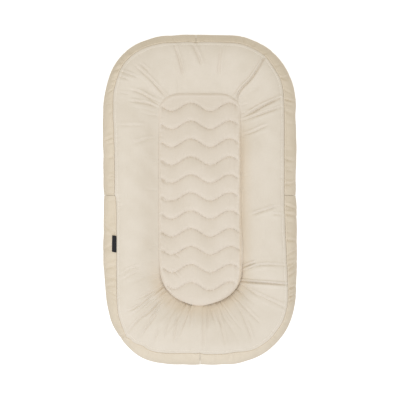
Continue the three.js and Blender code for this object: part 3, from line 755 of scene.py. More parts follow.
@dataclass(frozen=True)
class BolsterForm:
    """Section of the cover round the bolster, at every station of the ring.

    Rows run from the bottom seam out to the widest place, up to the top seam and the crown,
    down to the pad and under it. Rows past either end lie on the flat underside.
    """

    height: float = 110.0
    seam_height: float = 98.0
    pad_seam_height: float = 62.0
    widest_height: float = 50.0
    bottom_inset: float = 20.0
    bottom_height: float = 1.0
    inner_foot_inset: float = 28.0
    seam_turn: float = math.radians(60.0)
    crown_share: float = 0.3
    widest_row: float = 3.0
    seam_row: float = 6.0
    crown_row: float = 8.0
    pad_row: float = 12.0
    inner_row: float = 15.0
    near: float = 0.02

    def insets(self, station: Array) -> tuple[Array, Array]:
        """Distances inwards from the outline to the top seam and to the pad."""
        seam = TOP_SEAM.points(station)
        to_seam = np.linalg.norm(seam - OUTLINE.points(station), axis=-1)
        return to_seam, to_seam + np.linalg.norm(PAD_SEAM.points(station) - seam, axis=-1)

    def plan(self, station: Array, distance: Array) -> Array:
        """Places seen from above, a distance inwards by way of the top seam."""
        to_seam, to_pad = self.insets(station)
        seam = TOP_SEAM.points(station)
        outer = lerp(OUTLINE.points(station), seam, (distance / to_seam)[..., None])
        share = (distance - to_seam) / (to_pad - to_seam)
        inner = lerp(seam, PAD_SEAM.points(station), share[..., None])
        return np.where((distance <= to_seam)[..., None], outer, inner)

    def section(self, station: Array, row: Array) -> tuple[Array, Array]:
        """Distance inwards from the outline, and height, at stations and rows."""
        to_seam, to_pad = self.insets(station)
        foot = to_pad - self.inner_foot_inset
        closing = (self.bottom_inset + foot) / 2.0
        crown = lerp(to_seam, to_pad, self.crown_share)
        low_turn = QUARTER_TURN * (1.0 - row / self.widest_row)
        up = (row - self.widest_row) / (self.seam_row - self.widest_row)
        up_turn = self.seam_turn * up
        rise = (row - self.seam_row) / (self.crown_row - self.seam_row)
        fall = (row - self.crown_row) / (self.pad_row - self.crown_row)
        under = QUARTER_TURN * (row - self.pad_row) / (self.inner_row - self.pad_row)
        lift = self.seam_height - self.widest_height
        over_seam, over_pad = self.height - self.seam_height, self.height - self.pad_seam_height
        # By the row that each band ends at: distance inwards and height
        bands = (
            (
                self.widest_row,
                self.bottom_inset * (1.0 - np.cos(low_turn)),
                lerp(self.widest_height, self.bottom_height, np.sin(low_turn)),
            ),
            (
                self.seam_row,
                to_seam * (1.0 - np.cos(up_turn)) / (1.0 - math.cos(self.seam_turn)),
                self.widest_height + lift * np.sin(up_turn) / math.sin(self.seam_turn),
            ),
            (
                self.crown_row,
                lerp(to_seam, crown, rise),
                self.seam_height + over_seam * np.sin(QUARTER_TURN * rise),
            ),
            (
                self.pad_row,
                lerp(crown, to_pad, fall),
                self.pad_seam_height + over_pad * np.cos(QUARTER_TURN * fall),
            ),
            (
                self.inner_row,
                to_pad - self.inner_foot_inset * (1.0 - np.cos(under)),
                self.pad_seam_height * (1.0 - np.sin(under)),
            ),
        )
        low = (lerp(self.bottom_inset, closing, -row), self.bottom_height * (1.0 + row))
        last = (lerp(foot, closing, row - self.inner_row), 0.0)
        inside = [row < 0, *(row <= end for end, *_ in bands)]
        distance, height = [
            np.select(inside, [low[k], *(band[k + 1] for band in bands)], last[k]) for k in (0, 1)
        ]
        return distance, height

    def point(self, station: Array, row: Array) -> Array:
        """Places of the cover's outside, at stations and rows."""
        station, row = np.broadcast_arrays(
            np.asarray(station, dtype=float), np.asarray(row, dtype=float)
        )
        distance, height = self.section(station, row)
        return np.concatenate([self.plan(station, distance), height[..., None]], axis=-1)

    def normal(self, station: Array, row: Array, low: float, high: float) -> Array:
        """Directions out of the cover, measured between two rows only."""
        before = self.point(station, np.clip(row - self.near, low, high))
        after = self.point(station, np.clip(row + self.near, low, high))
        ring = self.point(station + self.near, row) - self.point(station - self.near, row)
        return unit(np.cross(unit(ring), unit(after - before)))

    def spread_rows(
        self,
        station: Array,
        low: float,
        high: float,
        near_low: Sequence[float],
        near_high: Sequence[float],
        middle: int,
    ) -> tuple[Array, Array, Array]:
        """Rows at fixed distances from both edges of a panel, and evenly spread between.

        Args:
            station: stations, one axis.
            low: row of the first edge.
            high: row of the last edge.
            near_low: distances from the first edge.
            near_high: distances from the last edge.
            middle: how many rows lie between.

        Returns:
            Rows, and distances from the first and from the last edge, stations by rows.
        """
        fine = np.linspace(low, high, 181)
        lengths = running_length(self.point(station[:, None], fine[None, :]))
        spread = []
        for length in lengths:
            total = length[-1]
            between = np.linspace(near_low[-1], total - near_high[-1], middle + 2)[1:-1]
            wanted = np.concatenate([near_low, between, total - np.array(near_high)[::-1]])
            spread.append((np.interp(wanted, length, fine), wanted, total - wanted))
        return tuple(np.array(part) for part in zip(*spread))

    def spread_stations(
        self, first: float, last: float, row: float, spacing: Callable[[Array], Array]
    ) -> Array:
        """Stations at a spacing that depends on the place, measured along one row.

        Args:
            first: first station.
            last: last station.
            row: row along which the spacing is measured.
            spacing: gives the wanted spacing at places of that row.

        Returns:
            The stations, both ends included.
        """
        fine = np.linspace(first, last, 4801)
        places = self.point(fine, np.full_like(fine, row))
        length = running_length(places)
        middle = (places[1:] + places[:-1]) / 2.0
        count = np.concatenate([[0.0], np.cumsum(np.diff(length) / spacing(middle))])
        return np.interp(np.linspace(0.0, count[-1], round(count[-1]) + 1), count, fine)


def plate_grid(
    edge: PlanLoop, columns: int, rows: tuple[int, int, int]
) -> tuple[Array, Array, Array]:
    """Spreads a grid over the inside of a loop.

    Args:
        edge: the loop.
        columns: how many columns across.
        rows: how many rows in the head's corners, between, and in the foot's corners.

    Returns:
        Places across and along, and places across as shares of the half width there.
    """
    at_head, between, at_foot = rows
    foot_from = edge.foot.along - edge.foot.reach
    head_from = edge.head.reach - edge.head.along
    y = np.concatenate(
        [
            foot_from + edge.foot.along * np.sin(np.linspace(-QUARTER_TURN, 0.0, at_foot)),
            np.linspace(foot_from, head_from, between + 2)[1:-1],
            head_from + edge.head.along * np.sin(np.linspace(0.0, QUARTER_TURN, at_head)),
        ]
    )
    shares = np.linspace(-1.0, 1.0, columns)[:, None]
    share = np.broadcast_to(shares, (columns, len(y)))
    return share * edge.half_width_at(y), np.broadcast_to(y, share.shape), share


FORM = BolsterForm()
RING = np.linspace(0.0, JOINS.ring, 1921)
RING_LENGTH = float(running_length(TOP_SEAM.points(RING))[-1])


def ring_length_at(station: Array, loop: PlanLoop = TOP_SEAM) -> Array:
    """Length along a loop from the right-hand join to stations, not wrapped."""
    length = running_length(loop.points(RING))
    turns = np.floor(station / JOINS.ring)
    return turns * length[-1] + np.interp(station - turns * JOINS.ring, RING, length)


# Creases


# Level direction away from the lamp: a fold stands up on that side of its valley.
SHADY_SIDE = np.array([0.25, 0.97])


def fold_shape(offset: Array, width: float, ridge: float) -> Array:
    """Section of a fold: a sharp valley, a ridge close beside it and a low swell opposite.

    Args:
        offset: signed distances from the valley, above 0 on the ridge's side.
        width: half width of the valley.
        ridge: height of the ridge as a share of the valley's depth.

    Returns:
        Heights for a fold 1 deep.
    """
    valley = bell(offset, width)
    shoulder = bell(offset - 2.0 * width, 1.25 * width)
    swell = bell(offset + 3.2 * width, 2.2 * width)
    return ridge * shoulder + 0.5 * ridge * swell - valley


@dataclass(frozen=True)
class Crease:
    """A fold line in cloth, seen from above.

    The path is in millimetres. Strengths are at the path's two ends, as shares of the depth.
    """

    path: Sequence[tuple[float, float]]
    depth: float
    width: float = 2.0
    strengths: tuple[float, float] = (0.0, 0.0)
    ridge: float = 0.85
    margin: float = 7.0
    cut_off: float = 5.0
    taper: float = 0.3

    def relief(self, plan: Array) -> Array:
        """How far the fold moves the cloth out of its surface.

        Args:
            plan: places seen from above, with a last axis of 2.

        Returns:
            Distances, below 0 in the valley.
        """
        line = smoothed(self.path)
        flat = plan.reshape(-1, 2)
        result = np.zeros(len(flat))
        margin = self.margin * self.width
        low, high = line.min(axis=0) - margin, line.max(axis=0) + margin
        inside = np.all((flat >= low) & (flat <= high), axis=1)
        if not inside.any():
            return result.reshape(plan.shape[:-1])
        near = flat[inside]
        start, step = line[:-1], np.diff(line, axis=0)
        size = np.maximum((step**2).sum(axis=1), 1e-9)
        share = np.clip(
            ((near[:, None, :] - start[None]) * step[None]).sum(axis=2) / size, 0.0, 1.0
        )
        foot = start[None] + share[..., None] * step[None]
        apart = np.linalg.norm(near[:, None, :] - foot, axis=2)
        best = apart.argmin(axis=1)
        pick = np.arange(len(near))
        square = np.stack([-step[:, 1], step[:, 0]], axis=1)
        square = square * np.sign(square @ SHADY_SIDE)[:, None]
        side = np.sign(((near - foot[pick, best]) * square[best]).sum(axis=1))
        length = running_length(line)
        along = (length[best] + share[pick, best] * np.sqrt(size[best])) / length[-1]
        taper = np.minimum(
            lerp(self.strengths[0], 1.0, smoothstep(along / self.taper)),
            lerp(self.strengths[1], 1.0, smoothstep((1.0 - along) / self.taper)),
        )
        beyond = apart[pick, best] - self.cut_off * self.width
        past = np.clip(1.0 - beyond / self.width, 0.0, 1.0)
        shape = fold_shape(side * apart[pick, best], self.width, self.ridge)
        result[inside] = taper * self.depth * shape * past
        return result.reshape(plan.shape[:-1])


def creases(table: Iterable[tuple]) -> tuple[Crease, ...]:
    """Creases from rows of depth, width, strengths at both ends, and the points of the path."""
    return tuple(Crease(path, depth, width, ends) for depth, width, ends, *path in table)


# Creases of the face panel, from the head end round to the foot
FACE_CREASES = creases((
    (4.6, 2.0, (0.6, 0.5), (145, 317), (128, 288), (112, 265), (96, 252), (83, 233), (85, 206)),
    (5.0, 2.2, (0.5, 0.2), (180, 226), (139, 208), (112, 192), (99, 186)),
    (3.0, 2.0, (0.4, 0.3), (183, 206), (130, 188), (92, 176)),
    (2.3, 2.3, (0.0, 0.2), (156, 168), (112, 148), (95, 145)),
    (2.8, 2.0, (0.2, 0.1), (174, -14), (139, -25), (112, -34)),
    (1.7, 1.8, (0.3, 0.0), (182, -32), (160, -32)),
    (2.8, 2.0, (0.0, 0.4), (130, -138), (103, -147), (93, -150)),
    (2.4, 2.0, (0.3, 0.4), (185, -145), (134, -143), (103, -155), (93, -160)),
    (5.0, 1.8, (0.6, 0.6), (92, -183), (139, -184), (190, -188)),
    (1.9, 2.2, (0.2, 0.4), (99, -196), (112, -202), (160, -225), (186, -238)),
    (1.5, 2.4, (0.4, 0.0), (87, -226), (111, -251), (139, -278)),
    (1.8, 2.4, (0.4, 0.1), (85, -234), (110, -289), (119, -322)),
    (2.2, 2.3, (0.5, 0.1), (-71, 224), (-106, 265), (-148, 301)),
    (1.5, 2.0, (0.0, 0.1), (-110, 283), (-133, 303)),
    (1.9, 1.9, (0.3, 0.0), (-176, 285), (-133, 270)),
    (1.6, 1.8, (0.3, 0.0), (-178, 274), (-154, 265)),
    (2.1, 2.3, (0.1, 0.3), (-158, 244), (-133, 239), (-110, 226), (-88, 217)),
    (1.1, 1.8, (0.2, 0.0), (-178, 237), (-154, 235)),
    (2.1, 2.2, (0.1, 0.3), (-160, 219), (-115, 215), (-88, 204)),
    (1.0, 2.7, (0.2, 0.0), (-181, 165), (-121, 165)),
    (1.4, 3.0, (0.0, 0.2), (-154, 122), (-103, 139)),
    (2.7, 2.4, (0.6, 0.0), (-56, 343), (-44, 310), (-35, 265)),
    (2.9, 2.7, (0.5, 0.0), (-15, 345), (1, 310), (4, 293)),
    (2.3, 3.0, (0.4, 0.0), (48, 341), (43, 303), (42, 265)),
    (1.3, 2.0, (0.2, 0.0), (-177, -166), (-152, -152), (-130, -145)),
    (1.2, 2.0, (0.3, 0.0), (-176, -177), (-161, -171), (-130, -155)),
    (0.9, 2.6, (0.0, 0.2), (-158, -186), (-92, -162)),
    (2.0, 1.6, (0.2, 0.5), (-168, -250), (-143, -241), (-121, -225), (-86, -193)),
    (1.2, 1.6, (0.0, 0.4), (-149, -225), (-117, -212), (-89, -195)),
    (1.2, 1.6, (0.0, 0.4), (-130, -247), (-108, -231), (-79, -203)),
    (1.8, 1.6, (0.6, 0.4), (-157, -291), (-130, -259), (-114, -253), (-79, -215)),
    (1.4, 1.4, (0.0, 0.4), (-114, -266), (-98, -247), (-81, -222)),
    (1.6, 1.6, (0.3, 0.3), (-133, -307), (-121, -288), (-104, -266), (-85, -237)),
    (1.3, 1.8, (0.3, 0.0), (-108, -329), (-98, -307), (-85, -275)),
    (1.2, 1.8, (0.0, 0.2), (-82, -313), (-73, -288), (-67, -259)),
    (1.7, 2.4, (0.4, 0.1), (-46, -238), (-61, -325)),
    (1.3, 2.0, (0.3, 0.0), (-18, -244), (-22, -287)),
    (1.5, 2.2, (0.4, 0.3), (8, -242), (8, -337)),
    (1.3, 2.0, (0.3, 0.0), (20, -244), (17, -292)),
    (1.5, 2.3, (0.4, 0.2), (37, -234), (48, -278), (60, -335)),
    # Flat facets beside the strong folds, where the cloth is pulled straight
    (0.9, 6.5, (0.0, 0.0), (158, 297), (131, 259), (111, 230)),
    (0.8, 6.0, (0.0, 0.3), (-139, 255), (-111, 244), (-83, 224)),
    (0.5, 6.0, (0.2, 0.0), (-30, -248), (-38, -319)),
    (0.5, 6.0, (0.2, 0.0), (61, -238), (83, -323)),
    (0.5, 5.0, (0.2, 0.0), (-61, -232), (-85, -315)),
))  # fmt: skip

# Pleats of the side panels: place along the ring's plan, depth, width and slant.
SIDE_PLEATS: tuple[tuple[float, float, float, float, float], ...] = (
    (206, 217, 3.2, 2.4, 6), (212, 37, 2.2, 2.4, 8), (212, -18, 3.4, 2.8, -14),
    (212, -34, 2.4, 3, -10), (212, -90, 2.6, 2.8, -10), (212, -143, 3.6, 2.6, 12),
    (212, -158, 3, 2.8, 6), (212, -112, 2.2, 2.4, 9), (208, -192, 3.6, 2.8, -8),
    (206, -208, 2.8, 2.6, -8), (-212, 132, 2, 2.6, 5), (-212, -60, 2.4, 3.6, -22),
    (-213, -106, 2.8, 3.6, 26), (-211, -150, 2.4, 3.4, 24), (-206, -190, 2.4, 3.4, 20),
    (-170, -300, 2.6, 3, 10), (150, 318, 2.4, 3, -8), (96, 356, 2.2, 2.4, 10),
    (126, 343, 2.4, 2.6, -12), (190, 268, 2.6, 2.6, 8), (-150, 316, 1.6, 3, 8),
)  # fmt: skip


@dataclass(frozen=True)
class Gathers:
    """Small folds that fan out from a gathered seam, each fading with its own length."""

    loop: PlanLoop
    seed: int
    count: int
    depth: tuple[float, float]
    width: tuple[float, float]
    reach: tuple[float, float]
    fullness: Callable[[Array], float] = lambda place: 0.8
    spread: float = 0.01
    lean: float = 0.12

    def relief(self, station: Array, away: Array, scale: Array) -> Array:
        """How far the folds move the cloth out of its surface.

        Args:
            station: stations, one axis.
            away: distances from the gathered seam, stations by rows.
            scale: length along each row for a length along the seam, stations by rows.

        Returns:
            Distances, below 0 in the valleys.
        """
        draw = np.random.default_rng(self.seed)
        length = ring_length_at(RING, self.loop)
        total = length[-1]
        along = ring_length_at(station, self.loop)
        result = np.zeros(away.shape)
        for _ in range(self.count):
            at = draw.uniform(0.0, total)
            chance, lean, phase = draw.uniform(0.0, 1.0), draw.uniform(-1, 1), draw.uniform(0, 6)
            depth, width, reach = [draw.uniform(*s) for s in (self.depth, self.width, self.reach)]
            middle = np.interp(at, length, RING)
            place, ahead = self.loop.points(np.array([middle, middle + 0.02]))
            share = self.fullness(place)
            if chance > share:
                continue
            apart = np.mod(along - at + total / 2.0, total) - total / 2.0
            span = 7.0 * width * (1.0 + self.spread * reach) + self.lean * reach + 2.0
            near = np.abs(apart) < span
            if not near.any():
                continue
            up = away[near]
            drift = self.lean * lean * up + 0.9 * np.sin(up / 13.0 + phase)
            offset = apart[near][:, None] * scale[near] - drift
            offset = offset * np.sign((ahead - place) @ SHADY_SIDE)
            fade = smoothstep((1.0 - up / reach) * 1.6) * (0.4 + 0.6 * share)
            broad = width * (1.0 + self.spread * up)
            result[near] += depth * fade * fold_shape(offset / broad, 1.0, 0.55)
        return result


def foot_fullness(place: Array) -> float:
    """Share of long gathers by a place on the pad seam: most round the foot."""
    return float(np.maximum(0.95 * smoothstep((-place[1] - 160.0) / 40.0), 0.02))


def rim_fullness(place: Array) -> float:
    """Share of short gathers by a place on the pad seam: most at the corners and foot."""
    foot = smoothstep((-place[1] - 150.0) / 60.0)
    head = smoothstep((place[1] - 175.0) / 30.0)
    corner = smoothstep((np.abs(place[0]) - 30.0) / 30.0)
    return float(np.maximum(0.95 * foot, np.maximum(0.8 * head * corner, 0.14)))


# Gathers of the face at the pad, its puckers at the top seam, and gathers of the side panels
PAD_GATHERS = (
    Gathers(PAD_SEAM, 5, 150, (0.3, 1.3), (1.4, 2.6), (60.0, 140.0), foot_fullness, 0.004),
    Gathers(PAD_SEAM, 6, 90, (0.3, 1.1), (1.5, 2.5), (16.0, 70.0), rim_fullness),
    Gathers(PAD_SEAM, 8, 160, (0.2, 0.6), (1.1, 1.9), (6.0, 22.0), rim_fullness),
)
PUCKERS = Gathers(TOP_SEAM, 9, 170, (0.25, 0.9), (1.3, 2.8), (7.0, 26.0), spread=0.02)
TOP_GATHERS = Gathers(TOP_SEAM, 21, 190, (0.5, 1.7), (1.6, 3.6), (16.0, 60.0), spread=0.012)
LOW_GATHERS = Gathers(TOP_SEAM, 22, 190, (0.4, 1.3), (1.8, 3.8), (12.0, 50.0), spread=0.012)

# Places in plan that the top seam really runs through, anticlockwise from the right-hand join
SEAM_COURSE: tuple[tuple[float, float], ...] = (
    (188.5, 0), (188.3, 44), (188.5, 120), (188.5, 200), (186.5, 235), (181, 268), (167, 291),
    (147, 320), (129, 331), (113, 340), (90.5, 348), (40, 350.5), (0, 351), (-8, 348), (-18, 351),
    (-50, 350), (-84, 348.5), (-111, 342), (-133.5, 333), (-156, 317.5), (-169.5, 302),
    (-180.5, 279.5), (-189.5, 250.5), (-193.5, 223.5), (-191, 156), (-189.5, 100), (-189, 22),
    (-190, 11), (-186.5, 6), (-185, -23), (-185, -120), (-185, -224.5), (-178.5, -269.5),
    (-165, -300), (-164, -306), (-154, -309), (-148, -318), (-127, -323), (-113, -335),
    (-84, -341), (-50, -341), (-21.5, -341), (-6, -342.7), (1, -337), (7, -343.5), (50, -343.3),
    (79.5, -339), (106, -336.5), (128.5, -330), (153, -314), (169, -296), (186, -269.5),
    (193, -247), (197, -224.5), (196, -180), (191.5, -90), (189, -30),
)  # fmt: skip

# How far the cover's widest line strays from the even outline: place, distance out and reach
GIRTH_COURSE: tuple[tuple[float, float, float, float], ...] = (
    (-208, -215, -5.5, 55), (-125, -340, 5.0, 38), (168, -305, 4.5, 80), (-165, 310, 3.0, 60),
    (165, 310, 1.5, 60), (216, -80, 1.5, 90), (-216, -50, -1.5, 60),
)  # fmt: skip


@dataclass(frozen=True)
class Stray:
    """How the real sewn cover strays from its even form, and the filling with it."""

    seam_reach: float = 22.0
    row_length: float = 16.0
    pad_reach: float = 30.0
    sag_side: float = 5.0
    sag_head: float = 6.0
    sag_foot: float = 8.0
    sag_row: float = 8.3
    sag_rows: float = 1.8
    fuller_right: float = 1.9
    out_right: float = 5.0
    out_foot: float = 6.0

    def outward(self, station: Array) -> Array:
        """Level directions outwards, square to the top seam."""
        ahead = TOP_SEAM.points(station + 0.02) - TOP_SEAM.points(station - 0.02)
        direction = unit(np.stack([ahead[..., 1], -ahead[..., 0]], axis=-1))
        return np.concatenate([direction, np.zeros(direction.shape[:-1] + (1,))], axis=-1)

    def at_seam(self, station: Array) -> Array:
        """How far the top seam strays outwards."""
        course = smoothed(SEAM_COURSE + SEAM_COURSE[:1])
        length = running_length(course)
        fine = np.linspace(0.0, length[-1], 2400)
        line = placed(*(np.interp(fine, length, course[:, k]) for k in (0, 1)))
        seam = TOP_SEAM.points(station)
        apart = line[None, :, :] - seam[:, None, :]
        nearest = np.linalg.norm(apart, axis=-1).argmin(axis=1)
        toward = apart[np.arange(len(seam)), nearest]
        strayed = (toward * self.outward(station)[:, :2]).sum(axis=-1)
        return strayed + 0.3 * Ripple(11, RING_LENGTH, 40.0, 110.0).at(ring_length_at(station))

    def at_girth(self, station: Array) -> Array:
        """How far the widest line strays outwards."""
        outline = OUTLINE.points(station)
        return sum(
            amount * bell(np.hypot(outline[:, 0] - x, outline[:, 1] - y), reach)
            for x, y, amount, reach in GIRTH_COURSE
        )

    def moved(self, places: Array, station: Array, row: Array) -> Array:
        """Moves places of the cover or of a layer below it.

        Args:
            places: places, stations by rows by 3.
            station: stations, one axis.
            row: rows, stations by rows or one axis.

        Returns:
            The moved places.
        """
        by_seam = bell((row - FORM.seam_row) * self.row_length, self.seam_reach)
        by_seam = by_seam * smoothstep((row - FORM.widest_row) / 2.2)
        by_girth = np.sin(math.pi * np.clip(row / FORM.seam_row, 0.0, 1.0))
        out = self.at_seam(station)[:, None] * by_seam
        out = out + self.at_girth(station)[:, None] * by_girth
        moved = places + out[..., None] * self.outward(station)[:, None, :]
        y = TOP_SEAM.points(station)[:, 1]
        sag = lerp(self.sag_side, self.sag_head, smoothstep((y - 150.0) / 120.0))
        sag = lerp(sag, self.sag_foot, smoothstep((-y - 150.0) / 120.0))
        moved[..., 2] -= sag[:, None] * bell(row - self.sag_row, self.sag_rows)
        # The right side is fuller by its seam, and lower towards the pad.
        right = smoothstep(TOP_SEAM.points(station)[:, 0] / 90.0)
        right = right * smoothstep((290.0 - np.abs(y)) / 80.0)
        fuller = 1.8 * bell(row - 6.5, 0.8) - bell(row - 9.8, 1.5)
        moved[..., 2] += self.fuller_right * right[:, None] * fuller
        return moved

    def beside_pad(self, plan: Array) -> Array:
        """How far the pad's outline, and the cloth sewn to it, strays at places in plan."""
        x, y = plan[..., 0], plan[..., 1]
        right = smoothstep(x / 60.0)
        left_foot = smoothstep((-y - 110.0) / 90.0) * smoothstep(-x / 80.0)
        foot = smoothstep((-y - 150.0) / 80.0)
        across = self.out_right * right * bell(y + 115.0, 60.0) + self.out_foot * left_foot
        return placed(across, self.out_foot * foot)


STRAY = Stray()


# Cover


@dataclass
class Cover:
    """The sewn cover round the bolster: a face panel, four side panels and their seams."""

    cloth: float = 1.1
    wadding: float = 5.2
    gap: float = 0.25
    roll: float = 1.2
    stitch_inset: float = 7.8
    stitch_dip: float = 0.3
    rim_rise: float = 0.7
    turned: tuple[float, ...] = (1.2, 2.6, 4.2)
    unevenness: float = 1.1
    fold_limit: float = 4.4
    lift_left: float = 12.5
    lift_right: float = 11.8
    lift_head: float = 15.0
    lift_foot: float = 1.0
    drop_foot_right: float = 3.0
    lift_reach: float = 24.0
    dip_right: float = 2.4
    # Distances of rows of corners from the edges of a panel, and how many lie between
    face_by_seam: tuple[float, ...] = (0.0, 0.5, 1.1, 1.8, 2.8, 4.2, 5.6, 6.8, 7.8, 8.8, 10.2)
    face_by_pad: tuple[float, ...] = (0.0, 1.2, 2.8, 4.8)
    face_rows: int = 46
    side_by_floor: tuple[float, ...] = (0.0, 0.6, 1.3, 2.2, 4.0)
    side_by_seam: tuple[float, ...] = (0.0, 0.5, 1.1, 1.8, 2.7, 3.8, 4.8, 5.6, 6.4, 8.2)
    side_rows: int = 42
    side_by_join: tuple[float, ...] = (0.0, 0.5, 1.1, 1.8)
    side_spacing: float = 1.6
    lining_rows: int = 8
    measured_row: float = 9.0

    def filling_relief(self, station: Array, from_seam: Array) -> Array:
        """Low swells of an unevenly filled bolster."""
        length = ring_length_at(station)[:, None] + 0.7 * from_seam
        broad = Ripple(3, RING_LENGTH, 120.0, 400.0).at(length)
        close = Ripple(4, RING_LENGTH, 45.0, 110.0).at(length - 1.5 * from_seam)
        return self.unevenness * (broad + 0.4 * close)

    def face_relief(self, station: Array, plan: Array, from_seam: Array, from_pad: Array) -> Array:
        """Everything that moves the face panel out of its even surface.

        Args:
            station: stations, one axis.
            plan: places seen from above, stations by rows by 2.
            from_seam: distances from the top seam.
            from_pad: distances from the pad seam.

        Returns:
            Distances along the surface's normal.
        """
        step = np.linalg.norm(np.gradient(plan, axis=0), axis=-1)
        by_pad = step / np.gradient(ring_length_at(station, PAD_SEAM))[:, None]
        even = np.ones(plan.shape[:2])
        folds = sum(item.relief(plan) for item in FACE_CREASES)
        for gathers in PAD_GATHERS:
            folds = folds + gathers.relief(station, from_pad, by_pad)
        folds = folds + PUCKERS.relief(station, from_seam, even)
        held = (0.25 + 0.75 * smoothstep(from_seam / 9.0)) * lerp(
            0.35, 1.0, smoothstep(from_pad / 7.0)
        )
        folds = self.fold_limit * np.tanh(held * folds / self.fold_limit)
        swell = self.filling_relief(station, from_seam) * smoothstep(from_seam / 14.0)
        swell = swell * smoothstep(from_pad / 14.0)
        # The seam's turned-in cloth lies under the band up to the stitches.
        band = smoothstep(from_seam / 2.0) * smoothstep((self.stitch_inset - from_seam) / 2.5)
        rim = self.rim_rise * band - self.stitch_dip * bell(from_seam - self.stitch_inset, 1.1)
        return folds + swell + rim - edge_roll(from_seam, self.roll)

    def face_places(
        self,
        station: Array,
        rows: Array,
        from_seam: Array,
        from_pad: Array,
        depth: float | None = None,
    ) -> tuple[Array, Array]:
        """Places of the face panel and the directions out of it.

        Args:
            station: stations, one axis.
            rows: rows, stations by rows.
            from_seam: distances from the top seam.
            from_pad: distances from the pad seam.
            depth: depth of an even layer below the surface, or None for the face itself.

        Returns:
            Places and directions, stations by rows by 3.
        """
        places = FORM.point(station[:, None], rows)
        normal = FORM.normal(station[:, None], rows, FORM.seam_row, FORM.pad_row)
        if depth is None:
            relief = self.face_relief(station, places[..., :2], from_seam, from_pad)
        else:
            relief = np.full(rows.shape, -depth)
        places = places + normal * relief[..., None]
        places[..., 2] += self.lift(station)[:, None] * np.exp(-from_pad / self.lift_reach)
        # On the right the cloth dips before it meets the pad.
        x, y = PAD_SEAM.points(station).T
        dip = smoothstep(x / 60.0) * lerp(0.3, 1.0, smoothstep((y + 90.0) / 60.0))
        dip = dip * smoothstep((200.0 - y) / 40.0) * smoothstep((y + 200.0) / 60.0)
        places[..., 2] -= self.dip_right * dip[:, None] * bell(from_pad - 6.0, 5.5)
        inwards = self.gap * bell(from_seam, 4.0)
        places = places - inwards[..., None] * STRAY.outward(station)[:, None, :]
        beside = STRAY.beside_pad(PAD_SEAM.points(station))[:, None, :]
        places[..., :2] += beside * bell(from_pad, STRAY.pad_reach)[..., None]
        return STRAY.moved(places, station, rows), normal

    def lift(self, station: Array) -> Array:
        """How far the cloth by the pad stands above its even line: least at the foot."""
        x, y = PAD_SEAM.points(station).T
        side = lerp(self.lift_right, self.lift_left, smoothstep(0.5 - x / 120.0))
        side = lerp(side, self.lift_head, smoothstep((y - 120.0) / 110.0))
        foot = smoothstep((-y - 120.0) / 90.0)
        deep = self.drop_foot_right * (bell(x - 58.0, 30.0) - 0.8 * bell(x + 66.0, 24.0))
        return lerp(side, self.lift_foot, foot) - deep * foot

    def make_face(self) -> bpy.types.Object:
        """Builds the face panel: cotton on thin wadding, a flat tube round the ring."""

        def spacing(place: Array) -> Array:
            """Columns lie closer where there are more folds."""
            plain = smoothstep((150.0 - np.abs(place[:, 1] - 10.0)) / 60.0)
            return 1.0 + 0.9 * plain

        station = FORM.spread_stations(0.0, JOINS.ring, self.measured_row, spacing)
        edges = (FORM.seam_row, FORM.pad_row, self.face_by_seam, self.face_by_pad)
        spread = FORM.spread_rows(station, *edges, self.face_rows)
        places, _ = self.face_places(station, *spread)
        picks = np.linspace(places.shape[1] - 1, 0, self.lining_rows).round().astype(int)
        picked = (part[:, picks] for part in spread)
        inner, _ = self.face_places(station, *picked, depth=self.wadding)
        places = np.concatenate([places, inner, places[:, :1]], axis=1)
        places[-1] = places[0]
        bm = laid_grid(places, ring_length_at(station), running_length(places), True, True)
        face = finished(sharpened(bm), "face_panel_cloth")
        dress(face, FINISHES.face, "face_cotton", "face_panel")
        return face

    def make_rim_stitches(self) -> bpy.types.Object:
        """Sews the face panel's edge: a line of stitches just inside the top seam."""
        station = np.linspace(0.0, JOINS.ring, 1400)
        edges = (FORM.seam_row, FORM.pad_row, (self.stitch_inset,), (60.0,))
        spread = FORM.spread_rows(station, *edges, 0)
        places, normal = self.face_places(station, *spread)
        # The pale thread here stands partly for the edge's highlight: painted highlight.
        stitches = Stitching(2.8, 0.8, 0.85)
        piece = stitches.make("rim_stitches", [(places[:, 0], normal[:, 0])])
        return dress(piece, FINISHES.thread, "face_cotton")

    def side_relief(
        self, station: Array, plan: Array, from_floor: Array, from_seam: Array, from_join: Array
    ) -> Array:
        """Everything that moves a side panel out of its even surface."""
        length = ring_length_at(station)[:, None]
        even = np.ones(plan.shape[:2])
        folds = TOP_GATHERS.relief(station, from_seam, even)
        folds = folds + LOW_GATHERS.relief(station, from_floor, even)
        for x, y, depth, width, slant in SIDE_PLEATS:
            nearest = np.hypot(*(OUTLINE.points(RING) - (x, y)).T).argmin()
            place = ring_length_at(RING[nearest : nearest + 1])[0]
            offset = length - place - slant * (from_seam / 60.0 - 0.5)
            offset = np.mod(offset + RING_LENGTH / 2.0, RING_LENGTH) - RING_LENGTH / 2.0
            # The shady side is towards the head, which lies ahead on the right only.
            offset = offset * math.copysign(1.0, x)
            folds = folds + depth * fold_shape(offset / width, 1.0, 0.5)
        # Folds are pulled flat where the cloth is widest, so the outline stays even.
        girth = lerp(1.0, 0.1, bell(from_seam - 56.0, 30.0))
        held = (0.2 + 0.8 * smoothstep(from_seam / 8.0)) * smoothstep(from_floor / 8.0)
        folds = self.fold_limit * np.tanh(held * girth * folds / self.fold_limit)
        swell = self.filling_relief(station, from_seam) * smoothstep(from_seam / 14.0)
        swell = swell * smoothstep(from_floor / 30.0)
